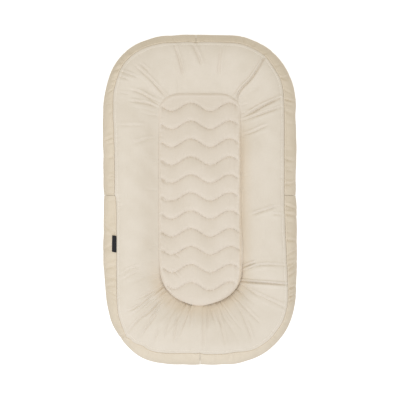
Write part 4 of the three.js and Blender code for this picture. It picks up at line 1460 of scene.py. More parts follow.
        # The joins on the two long sides pull harder than those at the ends.
        along = smoothstep((200.0 - np.abs(plan[..., 1])) / 100.0)
        drawn = bell(from_join, 9.0)[:, None] * smoothstep(from_floor / 20.0) * along
        drawn = 0.8 * drawn + lerp(0.2, 1.0, along) * edge_roll(from_join, 1.6)[:, None]
        rim = self.rim_rise * bell(from_seam - 2.4, 1.6)
        rim = rim - 0.5 * self.stitch_dip * bell(from_seam - 5.6, 1.0)
        rolls = edge_roll(from_seam, self.roll) + edge_roll(from_floor, self.roll)
        return folds + swell + rim - drawn - rolls

    def make_side(self, quadrant: int, name: str) -> bpy.types.Object:
        """Builds one of the four side panels, between two joins.

        Args:
            quadrant: which quarter of the ring, anticlockwise from the right-hand join.
            name: name of the CAD node that it stands for.

        Returns:
            The piece.
        """
        first = quadrant * JOINS.quadrant
        last = first + JOINS.quadrant
        even = FORM.spread_stations(
            first, last, FORM.widest_row, lambda place: np.full(len(place), self.side_spacing)
        )
        length = running_length(FORM.point(even, FORM.widest_row))
        near = np.array(self.side_by_join)
        clear = near[-1] + self.side_spacing / 2.0
        between = length[(length > clear) & (length < length[-1] - clear)]
        wanted = np.concatenate([near, between, length[-1] - near[::-1]])
        wanted = np.clip(wanted, self.gap, length[-1] - self.gap)
        station = np.interp(wanted, length, even)
        from_join = np.minimum(wanted, length[-1] - wanted)
        edges = (0.0, FORM.seam_row, self.side_by_floor, self.side_by_seam)
        rows, from_floor, from_seam = FORM.spread_rows(station, *edges, self.side_rows)
        even_places = FORM.point(station[:, None], rows)
        normal = FORM.normal(station[:, None], rows, 0.0, FORM.seam_row)
        relief = self.side_relief(station, even_places[..., :2], from_floor, from_seam, from_join)
        places = even_places + normal * relief[..., None]
        places[..., 2] += self.gap * bell(from_floor, 4.0)
        outwards = self.gap * bell(from_seam, 4.0)
        outward = STRAY.outward(station)[:, None, :]
        places = STRAY.moved(places + outwards[..., None] * outward, station, rows)
        turned = np.array(self.turned)[None, :, None]
        bottom = places[:, :1] + np.array([0.0, 0.0, 0.35]) * turned[:, ::-1]
        bottom = bottom - outward * turned[:, ::-1]
        top = places[:, -1:] - normal[:, -1:] * turned
        places = np.concatenate([bottom, places, top], axis=1)
        last_rows = np.repeat(normal[:, -1:], len(self.turned), axis=1)
        first_rows = np.repeat(normal[:, :1], len(self.turned), axis=1)
        spread = np.concatenate([first_rows, normal, last_rows], axis=1)
        turns = np.array(self.turned)[:, None, None]
        before = places[:1] - spread[:1] * turns[::-1]
        after = places[-1:] - spread[-1:] * turns
        places = np.concatenate([before, places, after], axis=0)
        bm = sharpened(laid_grid(places, running_length(places[:, 30]), running_length(places)))
        piece = thickened(finished(bm, name + "_cloth"), self.cloth)
        dress(piece, FINISHES.side, "side_cotton", name)
        return piece


@dataclass
class Label:
    """The bare black label: a ribbon folded double and caught in the left seam."""

    head: float = -76.0
    foot: float = -111.0
    drop: float = 8.6
    sewn_in: float = 1.0
    apart: float = 0.5
    lift: float = 0.9
    curl: float = 0.8
    thickness: float = 0.35
    columns: int = 25
    rows: int = 16

    def make(self) -> bpy.types.Object:
        """Builds the ribbon."""
        fine = np.linspace(2 * JOINS.quadrant, 2 * JOINS.quadrant + JOINS.side_steps, 400)
        y = OUTLINE.points(fine)[:, 1]
        station = np.interp(-np.linspace(self.head, self.foot, self.columns), -y, fine)
        outer = np.linspace(-self.sewn_in, self.drop, self.rows)
        bend = np.linspace(0.0, math.pi, 7)[1:-1]
        down = np.concatenate([outer, self.drop + self.apart * np.sin(bend), outer[::-1]])
        flat = np.full(self.rows, self.apart)
        away = np.concatenate([flat, self.apart * np.cos(bend), -flat])
        fine_rows = np.linspace(FORM.seam_row - 2.0, FORM.seam_row, 161)
        places = np.empty((self.columns, len(down), 3))
        rows = np.empty(places.shape[:2])
        for i, at in enumerate(station):
            length = running_length(FORM.point(at, fine_rows))
            rows[i] = np.interp(length[-1] - np.clip(down, 0.0, None), length, fine_rows)
            normal = FORM.normal(at, rows[i], FORM.widest_row, FORM.seam_row)
            bent = np.clip(down / self.drop, 0.0, None) ** 2 * (1.0 + 0.4 * i / self.columns)
            sunk = np.clip(-down, 0.0, None)
            height = self.lift + away + self.apart + self.curl * bent - 1.6 * sunk
            places[i] = FORM.point(at, rows[i]) + normal * height[:, None]
        places = STRAY.moved(places, station, rows)
        bm = laid_grid(places, running_length(places[:, 0]), running_length(places))
        label = thickened(finished(bm, "side_label_ribbon"), self.thickness)
        dress(label, FINISHES.ribbon, "label_ribbon", "side_label")
        return label


@dataclass(frozen=True)
class Stitching:
    """Lines of sewn stitches: short plump lengths of thread with a gap after each."""

    length: float
    gap: float
    thickness: float
    proud: float = 0.2

    def make(self, name: str, lines: Iterable[tuple[Array, Array]]) -> bpy.types.Object:
        """Lays stitches along lines.

        Args:
            name: name of the piece.
            lines: places and directions out of the cloth, along each line.

        Returns:
            One object that holds every stitch.
        """
        one = bmesh.new()
        bmesh.ops.create_uvsphere(one, u_segments=6, v_segments=4, radius=0.5)
        turn = Matrix.Rotation(QUARTER_TURN, 3, "Y")
        bmesh.ops.rotate(one, cent=(0, 0, 0), matrix=turn, verts=one.verts)
        shape = bpy.data.meshes.new(name + "_shape")
        one.to_mesh(shape)
        one.free()
        every = bmesh.new()
        for places, normals in lines:
            length = running_length(places)

            def at(place: float, values: Array) -> Array:
                """A value on the line, at a length along it."""
                return np.array([np.interp(place, length, values[:, k]) for k in range(3)])

            for start in np.arange(0.0, length[-1] - self.length, self.length + self.gap):
                first, last = at(start, places), at(start + self.length, places)
                out = unit(at(start + self.length / 2.0, normals))
                ahead = unit(last - first)
                side = unit(np.cross(out, ahead))
                up = np.cross(ahead, side) * self.thickness
                turned = Matrix([ahead * self.length, side * self.thickness, up]).transposed()
                middle = (first + last) / 2.0 + out * self.thickness * self.proud
                place = Matrix.Translation(Vector(middle)) @ turned.to_4x4()
                shape.transform(place)
                every.from_mesh(shape)
                shape.transform(place.inverted())
        bpy.data.meshes.remove(shape)
        return finished(every, name)


# Quilted centre


# Creases of the quilted pad
QUILT_CREASES = creases((
    (1.3, 1.9, (0.5, 0.0), (-62, -116), (-52, -122), (-43, -131)),
    (1.3, 1.9, (0.5, 0.0), (-62, -156), (-53, -163), (-43, -176)),
    (1.0, 1.8, (0.5, 0.0), (-86, 88), (-78, 80), (-70, 76)),
    (1.0, 1.8, (0.5, 0.0), (-86, 48), (-76, 38), (-68, 34)),
    (0.9, 1.8, (0.5, 0.0), (-86, 6), (-78, -2), (-70, -4)),
    (0.9, 1.8, (0.5, 0.0), (-86, -68), (-76, -78), (-66, -80)),
    (0.9, 1.8, (0.5, 0.0), (-85, -108), (-76, -116), (-66, -118)),
    (0.7, 1.8, (0.3, 0.0), (-34, 112), (-36, 84)),
    (0.7, 1.8, (0.3, 0.0), (-36, 20), (-37, -20)),
    (0.6, 1.8, (0.3, 0.0), (22, -150), (23, -172)),
    (0.7, 1.8, (0.3, 0.0), (-48, -20), (-44, -46)),
))  # fmt: skip


@dataclass
class Quilting:
    """The quilted centre: a puffed pad with eleven sewn waves, on its backing and insert."""

    edge: PlanLoop = PlanLoop(91.3, 1.0, LoopEnd(238.4, 50.3, 38.3), LoopEnd(237.5, 75.5, 72.0))
    underside: float = 61.2
    draw_in: float = 3.0
    rim: float = 75.0
    rim_head: float = 76.5
    rim_foot: float = 69.5
    roll_side: float = 9.0
    roll_foot: float = 20.0
    puff: float = 2.4
    dome: float = 1.2
    before_line: float = 0.27
    after_line: float = 0.8
    channel_depth: float = 6.6
    channel_count: int = 11
    pitch: float = 40.0
    first_channel: float = 207.0
    wave_period: float = 86.5
    wave_height: float = 18.5
    wave_trough: float = 24.0
    wave_fade: float = 0.16
    columns: int = 150
    rows: tuple[int, int, int] = (44, 290, 60)
    insert_underside: float = 8.9
    insert_top: float = 58.9
    backing_top: float = 60.1
    insert_roll: float = 15.0
    recess_reach: float = 15.5
    recess_top: float = 12.6
    recess_end: float = 238.0
    insert_inset: float = 1.6
    insert_grid: tuple[int, tuple[int, int, int]] = (61, (16, 90, 20))
    backing_inset: float = 4.0
    backing_grid: tuple[int, tuple[int, int, int]] = (41, (12, 60, 16))
    backing_cloth: float = 0.4

    def wave(self, x: Array, share: Array) -> Array:
        """Sewn wave across the pad, which dies away towards the rim."""
        fade = np.clip((1.0 - np.abs(share)) / self.wave_fade, 0.25, 1.0)
        turn = FULL_TURN * (x - self.wave_trough) / self.wave_period
        return -self.wave_height / 2.0 * np.cos(turn) * fade

    def height(self, x: Array, y: Array, share: Array) -> Array:
        """Height of the quilting's top.

        Args:
            x: places across.
            y: places along.
            share: places across as shares of the pad's half width there.

        Returns:
            Heights above the floor.
        """
        inside = np.maximum(0.0, self.edge.depth_inside(placed(x, y)))
        footward = smoothstep((-y - 120.0) / 90.0)
        rim = lerp(self.rim, self.rim_head, smoothstep((y - 140.0) / 80.0))
        rim = lerp(rim, self.rim_foot, footward)
        radius = lerp(self.roll_side, self.roll_foot, footward)
        past = 1.0 - np.clip(inside / radius, 0.0, 1.0)
        # A soft lens at the sides and head, and a full round lip at the foot.
        roll = (1.0 - past**2) ** lerp(1.0, 0.7, footward)
        last = self.channel_count - 1
        channel = (self.first_channel + self.wave(x, share) - y) / self.pitch
        nearest = np.clip(np.round(channel), 0, last)
        slope = FULL_TURN * self.wave_height / 2.0 / self.wave_period
        turn = FULL_TURN * (x - self.wave_trough) / self.wave_period
        square = 1.0 / np.sqrt(1.0 + (slope * np.sin(turn)) ** 2)
        off_line = np.abs(channel - nearest) * self.pitch * square
        # Each puff rises slowly from the line on its head side and falls fast to the next one.
        after = np.where(channel < 0, 1.0, channel - np.clip(np.floor(channel), 0, last))
        before = np.where(channel > last, 1.0, np.clip(np.ceil(channel), 0, last) - channel)
        rising = 1.0 - (1.0 - np.clip(after / self.after_line, 0.0, 1.0)) ** 2.0
        falling = 1.0 - (1.0 - np.clip(before / self.before_line, 0.0, 1.0)) ** 2.2
        # The lines stop short of the rim.
        rimward = smoothstep((inside - 1.5) / 7.0)
        puffed = 1.0 - rimward * (1.0 - np.maximum(0.0, rising * falling) ** 0.58)
        place = x + 31.0 * nearest
        drawn = Ripple(31, 1200.0, 7.0, 15.0).at(place) * bell(off_line, 8.0)
        drawn = drawn + 0.6 * Ripple(32, 1200.0, 5.0, 9.0).at(place) * bell(off_line, 4.0)
        lumps = Ripple(33, 1300.0, 40.0, 110.0).at(y + 0.6 * x)
        lumps = lumps + Ripple(34, 1300.0, 30.0, 90.0).at(1.3 * x - 0.5 * y)
        top = self.dome * (1.0 - (x / self.edge.half_width) ** 2)
        top = top + self.puff - (rim - self.rim) + 1.3 * bell(inside - 5.0, 4.0)
        top = top - self.channel_depth * (1.0 - puffed)
        relief = 0.4 * drawn + 0.3 * lumps
        relief = relief + 0.16 * Ripple(36, 400.0, 9.0, 16.0).at(x + 200.0) * puffed
        for fold in QUILT_CREASES:
            relief = relief + fold.relief(placed(x, y))
        # Short puckers where the pad's edge is sewn in.
        along = y + np.sign(x) * 400.0
        relief = relief + 0.5 * Ripple(35, 1700.0, 8.0, 17.0).at(along) * bell(inside - 3.0, 6.0)
        return rim + roll * (top + relief)

    def make_pad(self) -> bpy.types.Object:
        """Builds the quilted pad: its puffed top, rolled rim and flat underside."""
        x, y, share = plate_grid(self.edge, self.columns, self.rows)
        places = placed(x, y, self.height(x, y, share))
        places[..., :2] += STRAY.beside_pad(places) * np.abs(share)[..., None] ** 2
        bm = laid_grid(places)
        border = [edge for edge in bm.edges if edge.is_boundary]
        grown = bmesh.ops.extrude_edge_only(bm, edges=border)["geom"]
        low = [item for item in grown if isinstance(item, bmesh.types.BMVert)]
        for vertex in low:
            vertex.co.x *= 1.0 - self.draw_in / self.edge.half_width
            drawn = 2.0 * self.draw_in if vertex.co.y < 0.0 else self.draw_in
            vertex.co.y *= 1.0 - drawn / self.edge.foot.reach
            vertex.co.z = self.underside
        bottom = [edge for edge in bm.edges if edge.is_boundary]
        bmesh.ops.edgeloop_fill(bm, edges=bottom)
        bmesh.ops.recalc_face_normals(bm, faces=bm.faces)
        pad = finished(sharpened(bm), "quilted_pad_cloth")
        dress(pad, FINISHES.quilted, "quilted_cotton", "quilted_pad")
        return pad

    def make_stitches(self) -> bpy.types.Object:
        """Sews the eleven waves across the pad."""
        lines = []
        for k in range(self.channel_count):
            level = self.first_channel - k * self.pitch
            share = np.linspace(-0.95, 0.96, 260)
            y = np.full_like(share, level)
            for _ in range(2):
                x = share * self.edge.half_width_at(y)
                y = level + self.wave(x, share)
            places = placed(x, y, self.height(x, y, share))
            places[:, :2] += STRAY.beside_pad(places) * share[:, None] ** 2
            lines.append((places, np.tile([0.0, 0.0, 1.0], (len(x), 1))))
        piece = Stitching(2.6, 1.1, 0.45).make("quilting_stitches", lines)
        return dress(piece, FINISHES.thread, "quilted_cotton")

    def make_backing(self) -> bpy.types.Object:
        """Builds the backing cloth that the quilting is sewn through to."""
        x, y, _ = plate_grid(PAD_SEAM.inset(self.backing_inset), *self.backing_grid)
        z = self.backing_top - 0.12 * (1.0 + Ripple(41, 1000.0, 20.0, 60.0).at(y + x))
        bm = laid_grid(placed(x, y, z))
        backing = thickened(finished(bm, "quilt_backing_cloth"), self.backing_cloth)
        dress(backing, FINISHES.ticking, "ticking", "quilt_backing")
        return backing

    def make_insert(self) -> bpy.types.Object:
        """Builds the centre insert: a thick fibre pad with full sides, hollowed over the zip."""
        edge = PAD_SEAM.inset(self.insert_inset)
        x, y, _ = plate_grid(edge, *self.insert_grid)
        inside = np.maximum(0.0, edge.depth_inside(placed(x, y)))
        fall = edge_roll(inside, self.insert_roll)
        lumps = 0.6 * Ripple(51, 1100.0, 25.0, 80.0).at(y + 0.5 * x)
        lumps = lumps + 0.6 * Ripple(52, 1100.0, 30.0, 90.0).at(y - 0.8 * x)
        hollow = smoothstep((self.recess_reach - np.abs(x)) / 5.0)
        hollow = hollow * smoothstep((self.recess_end - np.abs(y)) / 5.0)
        top = self.insert_top - 0.6 + 0.5 * np.minimum(lumps, 1.0) - fall
        low = self.insert_underside + 0.6 + 0.5 * np.maximum(lumps, -1.0) + fall
        low = np.maximum(low, lerp(low, self.recess_top, hollow))
        bm = laid_grid(placed(x, y, top))
        copied = bmesh.ops.duplicate(bm, geom=bm.verts[:] + bm.edges[:] + bm.faces[:])["geom"]
        under = laid_grid(placed(x, y, low))
        heights = {(round(v.co.x, 3), round(v.co.y, 3)): v.co.z for v in under.verts}
        for vertex in copied:
            if isinstance(vertex, bmesh.types.BMVert):
                vertex.co.z = heights[(round(vertex.co.x, 3), round(vertex.co.y, 3))]
        under.free()
        bmesh.ops.bridge_loops(bm, edges=[e for e in bm.edges if e.is_boundary])
        bmesh.ops.recalc_face_normals(bm, faces=bm.faces)
        insert = finished(bm, "centre_insert_fibre")
        dress(insert, FINISHES.fibre, "fibre", "centre_insert")
        return insert


@dataclass
class Filling:
    """The bolster's inside: a ring of fibre in a bag of ticking whose edges meet below."""

    casing_depth: float = 6.2
    casing_low_depth: float = 2.3
    casing_cloth: float = 0.7
    fill_margin: float = 1.6

    def depth(self, row: Array) -> Array:
        """Depth of the casing below the cover, least where it lies on the base."""
        low = smoothstep((row - 0.2) / 1.6) * smoothstep((14.6 - row) / 1.8)
        return lerp(self.casing_low_depth, self.casing_depth, low)

    def shell(self, columns: int, row: Array, extra: float) -> Array:
        """Places of a layer at the casing's depth and a little more."""
        station = np.linspace(0.0, JOINS.ring, columns + 1)
        at, rows = station[:, None], row[None, :]
        normal = FORM.normal(at, rows, -1.0, 16.0)
        places = FORM.point(at, rows) - normal * (self.depth(rows) + extra)[..., None]
        length = ring_length_at(station)[:, None]
        lumps = Ripple(61, RING_LENGTH, 40.0, 130.0).at(length + 9.0 * rows)
        lumps = lumps + Ripple(62, RING_LENGTH, 30.0, 90.0).at(length - 12.0 * rows)
        places = places + normal * (0.5 * (lumps - 1.0) * (self.depth(rows) > 4.0))[..., None]
        places = STRAY.moved(places, station, rows)
        places[-1] = places[0]
        return places

    def make_casing(self) -> bpy.types.Object:
        """Builds the casing: a strip of ticking rolled round the fibre."""
        row = np.concatenate([[-0.96], np.linspace(-0.8, 15.8, 72), [15.96]])
        places = self.shell(300, row, 0.0)
        station = np.linspace(0.0, JOINS.ring, 301)
        bm = laid_grid(places, ring_length_at(station), running_length(places), closed_along=True)
        casing = thickened(finished(bm, "bolster_casing_cloth"), self.casing_cloth)
        dress(casing, FINISHES.ticking, "ticking", "bolster_casing")
        return casing

    def make_fill(self) -> bpy.types.Object:
        """Builds the fibre: one unbroken ring that fills the casing."""
        row = np.linspace(-1.0, 16.0, 52)
        places = self.shell(260, row, self.fill_margin)
        places[:, -1] = places[:, 0]
        bm = laid_grid(places, closed_along=True, closed_across=True)
        fill = finished(bm, "bolster_fill_fibre")
        dress(fill, FINISHES.fibre, "fibre", "bolster_fill")
        return fill


@dataclass
class Underside:
    """The base of the cover, in two halves that meet at the zip, and its rows of stitches."""

    cloth: float = 1.1
    edge_inset: float = 20.0
    rise: float = 7.0
    rise_inset: float = 14.0
    seam_gap: float = 0.12
    slot: float = 5.5
    zip_head: float = 222.0
    zip_foot: float = -204.0
    topstitch: float = 2.6
    bow_reach: float = 14.0
    taper: float = 1.2
    topstitch_rows: float = 5.5
    bar: float = 9.0
    bar_step: float = 1.4
    # Distances of rows of corners from the inner edge, and how many columns and rows lie beyond
    by_inner: tuple[float, ...] = (0.0, 0.35, 0.9, 1.8, 2.6, 3.4, 5.0)
    columns: int = 260
    rows: int = 73

    def inner_edge(self, y: Array) -> Array:
        """Distance of the base's inner edge from the middle, wider along the zip."""
        head = smoothstep((self.zip_head + self.taper - y) / (2 * self.taper))
        foot = smoothstep((y - self.zip_foot + self.taper) / (2 * self.taper))
        return self.seam_gap + (self.slot - self.seam_gap) * head * foot

    def height(self, x: Array, y: Array, from_edge: Array) -> Array:
        """Height of the base's underside: on the floor below the bolster, held up inside."""
        inside = PAD_SEAM.depth_inside(placed(x, y))
        lift = np.clip((inside + self.rise_inset) / self.rise_inset, 0.0, 1.0)
        lift = self.rise * lerp(lift, smoothstep(lift), 0.5)
        sag = 0.35 * Ripple(71, 1200.0, 40.0, 160.0).at(y + 1.7 * x)
        sag = sag + 0.3 * Ripple(72, 1200.0, 25.0, 90.0).at(x - 0.6 * y)
        still = smoothstep((np.abs(x) - self.slot) / 14.0)
        flat = 0.15 * (1.0 + np.clip(sag, -1.0, 1.0)) * smoothstep(from_edge / 10.0)
        hem = 0.35 * bell(np.abs(x) - self.inner_edge(y) - self.topstitch, 0.8)
        return lift + lerp(flat, sag, lift / self.rise) * still + hem

    @staticmethod
    def steady(line: Array) -> Array:
        """Heights along a half outline, kept from turning back on its way to either end."""
        level = line[:, 1].copy()
        middle = int(np.argmin(np.abs(level)))
        level[middle:] = np.maximum.accumulate(level[middle:])
        level[: middle + 1] = np.minimum.accumulate(level[middle::-1])[::-1]
        return level + 1e-5 * np.arange(len(level))

    def make_half(self, side: int, name: str) -> bpy.types.Object:
        """Builds one half of the base.

        Args:
            side: 1 for the right, -1 for the left.
            name: name of the CAD node that it stands for.

        Returns:
            The piece.
        """
        station = np.linspace(-JOINS.quadrant - 3.0, JOINS.quadrant + 3.0, 2401)
        station = station if side > 0 else station + 2 * JOINS.quadrant
        line = FORM.plan(station, np.full_like(station, self.edge_inset))
        line = line[side * line[:, 0] > -2.0]
        line = line[::-1] if line[0, 1] > line[-1, 1] else line
        level = self.steady(line)
        reach = (level[0], level[-1])
        turn = np.linspace(-QUARTER_TURN, QUARTER_TURN, self.columns)
        even = lerp(*reach, (np.sin(turn) + 1.0) / 2.0)
        ends = [end + np.linspace(-4.0, 4.0, 13) for end in (self.zip_head, self.zip_foot)]
        y = np.unique(np.round(np.concatenate([even, *ends]), 3))
        y = np.unique(np.clip(y, reach[0] + 0.02, reach[1] - 0.02))
        outer = np.interp(y, level, side * line[:, 0])
        inner = np.minimum(self.inner_edge(y), np.maximum(outer - 0.4, 0.05))
        width = (outer - inner)[:, None]
        share = np.linspace(0.0, 1.0, self.rows + 1)[1:]
        fixed = np.minimum(self.by_inner, width * np.linspace(0.0, 0.3, len(self.by_inner)))
        rest = fixed[:, -1:] + (width - fixed[:, -1:]) * share
        across = np.concatenate([fixed, rest], axis=1)
        x = side * (inner[:, None] + across)
        yy = np.broadcast_to(y[:, None], x.shape).copy()
        for end, part in ((reach[0], line[:, 1] < 0.0), (reach[1], line[:, 1] > 0.0)):
            order = np.argsort(side * line[part, 0])
            bowed = (line[part, 1] - level[part])[order]
            near_end = smoothstep(1.0 - np.abs(yy - end) / self.bow_reach)
            yy += np.interp(side * x, (side * line[part, 0])[order], bowed) * near_end
        from_edge = np.minimum(width - across, 300.0)
        z = self.height(x, yy, from_edge) + edge_roll(across, 0.8)
        z = z + 0.4 * bell(from_edge, 1.5)
        places = placed(x, yy, z)
        if side < 0:
            places = places[:, ::-1]
        bm = laid_grid(places, y - y[0], running_length(places))
        piece = thickened(finished(bm, name + "_cloth"), self.cloth)
        dress(piece, FINISHES.base, "base_cotton", name)
        return piece

    def make_stitches(self) -> bpy.types.Object:
        """Sews the two long rows and the bar at each end that hold the zip."""
        rows = []
        y = np.linspace(self.zip_foot + 1.5, self.zip_head - 1.5, 900)
        for side in (-1, 1):
            for inset in (self.topstitch, self.topstitch + self.topstitch_rows):
                rows.append((side * (self.slot + inset) * np.ones_like(y), y, 0.0))
        x = np.linspace(-self.bar, self.bar, 40)
        for level in (self.zip_head + 3.0, self.zip_foot - 3.0):
            for step in (0.0, self.bar_step):
                rows.append((x, np.full_like(x, level + step), 0.1))
        lines = []
        for x, y, drop in rows:
            z = self.height(x, y, np.full_like(x, 100.0)) - drop
            lines.append((placed(x, y, z), np.tile([0.0, 0.0, -1.0], (len(x), 1))))
        piece = Stitching(2.6, 0.9, 0.4).make("zip_stitches", lines)
        return dress(piece, FINISHES.thread, "base_cotton")


@dataclass
class Zip:
    """The zip in the base: two tapes, two coils of nylon, and metal stops, slider and pull."""

    tape_inner: float = 0.8
    tape_width: float = 14.0
    tape_underside: float = 8.8
    foot: float = -204.0
    head: float = 222.0
    tail: float = 9.0
    coil_pitch: float = 1.5
    wire: float = 0.27
    wire_sides: int = 5
    steps_per_turn: int = 8
    coil_inner: float = 0.56
    coil_outer: float = 2.9
    coil_low: float = 6.65
    coil_high: float = 8.65
    tape_cloth: float = 0.55
    # Distances of the tape's rows of corners from its inner edge
    by_inner: tuple[float, ...] = (0.0, 0.3, 0.8, 1.6, 3.0, 5.0, 7.0, 9.0, 11.0, 12.6, 13.4, 14.0)
    top_stop: float = 3.6
    bottom_stop: float = 4.6

    def make_tape(self, side: int, name: str) -> bpy.types.Object:
        """Builds one tape, a woven strip that lies on the inside of the base.

        Args:
            side: 1 for the right, -1 for the left.
            name: name of the CAD node that it stands for.

        Returns:
            The piece.
        """
        y = np.linspace(self.foot - self.tail, self.head + self.tail, 280)
        across = np.array(self.by_inner)
        ripple = 0.07 * Ripple(81 + side, 800.0, 18.0, 60.0).at(y)[:, None]
        cord = 0.12 * bell(across - 0.8, 0.7)[None, :]
        z = self.tape_underside + 0.1 + np.maximum(ripple, -0.08) - cord * 0.5
        places = placed(side * (self.tape_inner + across), y[:, None], z)
        measure = np.broadcast_to(across, z.shape)
        if side < 0:
            places, measure = places[:, ::-1], measure[:, ::-1]
        bm = laid_grid(places, y - y[0], measure)
        piece = thickened(finished(bm, name + "_cloth"), self.tape_cloth)
        dress(piece, FINISHES.tape, "zip_tape", name)
        return piece

    def make_coil(self, side: int, name: str) -> bpy.types.Object:
        """Builds one coil: a filament wound flat, sewn under the edge of its tape.

        Args:
            side: 1 for the right, -1 for the left.
            name: name of the CAD node that it stands for.

        Returns:
            The piece.
        """
        first, last = self.foot + self.bottom_stop, self.head - self.top_stop
        turns = int((last - first - 2 * self.wire) / self.coil_pitch)
        bm = bmesh.new()
        ring = bmesh.ops.create_circle(
            bm, cap_ends=False, segments=self.wire_sides, radius=self.wire
        )["verts"]
        bmesh.ops.translate(bm, vec=(1.0, 0.0, 0.0), verts=ring)
        bmesh.ops.spin(
            bm,
            geom=ring + bm.edges[:],
            cent=(0.0, 0.0, 0.0),
            axis=(0.0, 1.0, 0.0),
            dvec=(0.0, self.coil_pitch / self.steps_per_turn, 0.0),
            angle=FULL_TURN * turns,
            steps=self.steps_per_turn * turns,
            use_merge=False,
        )
        ends = [edge for edge in bm.edges if edge.is_boundary]
        bmesh.ops.holes_fill(bm, edges=ends, sides=self.wire_sides)
        # The round coil, wound 1 mm from its axis, is drawn flat.
        half_x = (self.coil_outer - self.coil_inner) / 2.0 - self.wire
        half_z = (self.coil_high - self.coil_low) / 2.0 - self.wire
        for vertex in bm.verts:
            away = Vector((vertex.co.x, 0.0, vertex.co.z))
            thick = away.length - 1.0
            away.normalize()
            vertex.co.x = away.x * (half_x + thick)
            vertex.co.z = away.z * (half_z + thick)
        offset = self.coil_pitch / 2.0 if side > 0 else 0.0
        middle = (
            side * (self.coil_inner + self.coil_outer) / 2.0,
            first + self.wire + offset,
            (self.coil_low + self.coil_high) / 2.0,
        )
        bmesh.ops.translate(bm, vec=middle, verts=bm.verts)
        bmesh.ops.recalc_face_normals(bm, faces=bm.faces)
        piece = finished(bm, name + "_teeth")
        return dress(piece, FINISHES.coil, "zip_coil", name)

    def finish_metal(self) -> None:
        """Gives the CAD's metal pieces their finish."""
        stops = ("top_stop_left", "top_stop_right", "bottom_stop")
        for name in ("slider", "pull", *stops):
            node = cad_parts[f"zip_{name}"]
            node.data.materials.clear()
            node.data.materials.append(FINISHES.of(FINISHES.metal))


@dataclass(frozen=True)
class Lamp:
    """A soft round lamp aimed at the middle of the object."""

    name: str
    toward: tuple[float, float, float]
    distance: float
    spread: float
    strength: float
    colour: tuple[float, float, float]

    def hang(self) -> None:
        """Hangs the lamp, which lights but isn't seen."""
        light = bpy.data.lights.new(self.name, "AREA")
        light.shape = "DISK"
        light.size = 2.0 * self.distance * math.tan(math.radians(self.spread / 2.0))
        light.energy = self.strength * math.pi * self.distance**2
        light.color = self.colour
        holder = bpy.data.objects.new(self.name, light)
        toward = Vector(self.toward).normalized()
        holder.location = toward * self.distance
        holder.rotation_euler = toward.to_track_quat("Z", "Y").to_euler()
        holder.visible_camera = False
        bpy.context.scene.collection.objects.link(holder)


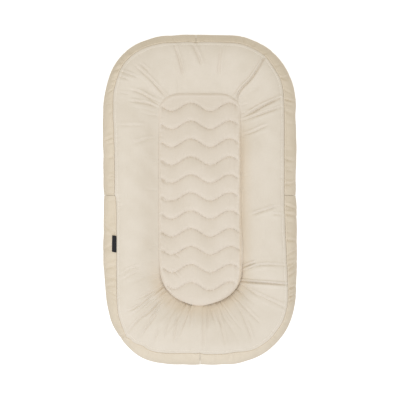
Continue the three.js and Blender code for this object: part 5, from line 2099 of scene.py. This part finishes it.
@dataclass
class Studio:
    """A white studio: a bright even surround, two soft lamps and the floor."""

    surround: float = 0.825
    warm: tuple[float, float, float] = (1.0, 0.976, 0.92)
    key: Lamp = Lamp("key_lamp", (-0.05, -0.62, 0.783), 3.2, 24.0, 0.62, (0.98, 1.13, 1.46))
    side: Lamp = Lamp("side_lamp", (-0.46, -0.12, 0.88), 0.86, 30.0, 0.21, (1.0, 1.01, 1.0))
    floor_size: float = 9.0
    floor_level: float = -0.5
    floor_colour: str = "dcdcdc"
    floor_glow: float = 0.65
    lens: float = 200.0
    sensor: float = 36.0
    pixel: float = 2.24
    image: int = 400
    subject_height: float = 50.0
    aim: tuple[float, float] = (0.9, -0.56)

    def camera_only(self, tree: bpy.types.NodeTree) -> bpy.types.Node:
        """1 for rays from the camera, off polish or through glass, and 0 for light."""
        path = add_node(tree, "LightPath").outputs
        rays = ("Camera", "Glossy", "Transmission")
        camera, glossy, through = [path[f"Is {ray} Ray"] for ray in rays]
        seen = add_node(tree, "Math", {0: camera, 1: glossy}, operation="MAXIMUM")
        return add_node(tree, "Math", {0: seen, 1: through}, operation="MAXIMUM")

    def build_surround(self) -> None:
        """Lights the world evenly, and shows it white."""
        world = bpy.data.worlds.new("white_surround")
        bpy.context.scene.world = world
        world.use_nodes = True
        tree = world.node_tree
        tree.nodes.clear()
        light, shown = [
            add_node(tree, "Background", {"Color": (*colour, 1.0), "Strength": strength})
            for colour, strength in ((self.warm, self.surround), ((1.0, 1.0, 1.0), 1.0))
        ]
        both = {0: self.camera_only(tree), 1: light, 2: shown}
        add_node(tree, "OutputWorld", {"Surface": add_node(tree, "MixShader", both)})

    def build_floor(self) -> None:
        """Lays the white floor, which keeps the object's shadow."""
        bm = bmesh.new()
        bmesh.ops.create_grid(bm, x_segments=1, y_segments=1, size=self.floor_size / MM / 2.0)
        bmesh.ops.translate(bm, vec=(0.0, 0.0, self.floor_level), verts=bm.verts)
        floor = finished(bm, "floor")
        material, tree = blank_material("white_floor")
        seen = {0: self.camera_only(tree), 1: self.floor_glow}
        glow = add_node(tree, "Math", seen, operation="MULTIPLY")
        paint = add_node(tree, "BsdfDiffuse", {"Color": linear(self.floor_colour)})
        bright = add_node(tree, "Emission", {"Strength": glow})
        both = add_node(tree, "AddShader", {0: paint, 1: bright})
        add_node(tree, "OutputMaterial", {"Surface": both})
        floor.data.materials.append(material)

    def build_camera(self) -> None:
        """Sets the camera straight above, with the head end at the top of the image."""
        camera = bpy.data.cameras.new("camera")
        camera.lens = self.lens
        camera.sensor_width = self.sensor
        camera.clip_end = 100.0
        distance = self.pixel * self.image * self.lens / self.sensor
        holder = bpy.data.objects.new("camera", camera)
        x, y = self.aim
        holder.location = (x * MM, y * MM, (distance + self.subject_height) * MM)
        bpy.context.scene.collection.objects.link(holder)
        bpy.context.scene.camera = holder

    def build(self) -> None:
        """Builds the whole studio."""
        self.build_surround()
        self.key.hang()
        self.side.hang()
        self.build_floor()
        self.build_camera()
        bpy.context.scene.view_settings.view_transform = "Standard"


def main() -> None:
    """Builds the lounger from the inside out, then the studio round it."""
    logging.basicConfig(level=logging.INFO, format="%(message)s")
    filling = Filling()
    filling.make_fill()
    filling.make_casing()
    quilting = Quilting()
    quilting.make_insert()
    quilting.make_backing()
    quilting.make_pad()
    quilting.make_stitches()
    cover = Cover()
    cover.make_face()
    cover.make_rim_stitches()
    for quadrant, word in enumerate(("head_right", "head_left", "foot_left", "foot_right")):
        cover.make_side(quadrant, f"side_panel_{word}")
    Label().make()
    underside = Underside()
    closure = Zip()
    for side, word in ((-1, "left"), (1, "right")):
        underside.make_half(side, f"base_panel_{word}")
        closure.make_tape(side, f"zip_tape_{word}")
        closure.make_coil(side, f"zip_coil_{word}")
    underside.make_stitches()
    closure.finish_metal()
    Studio().build()


if __name__ == "__main__":
    main()
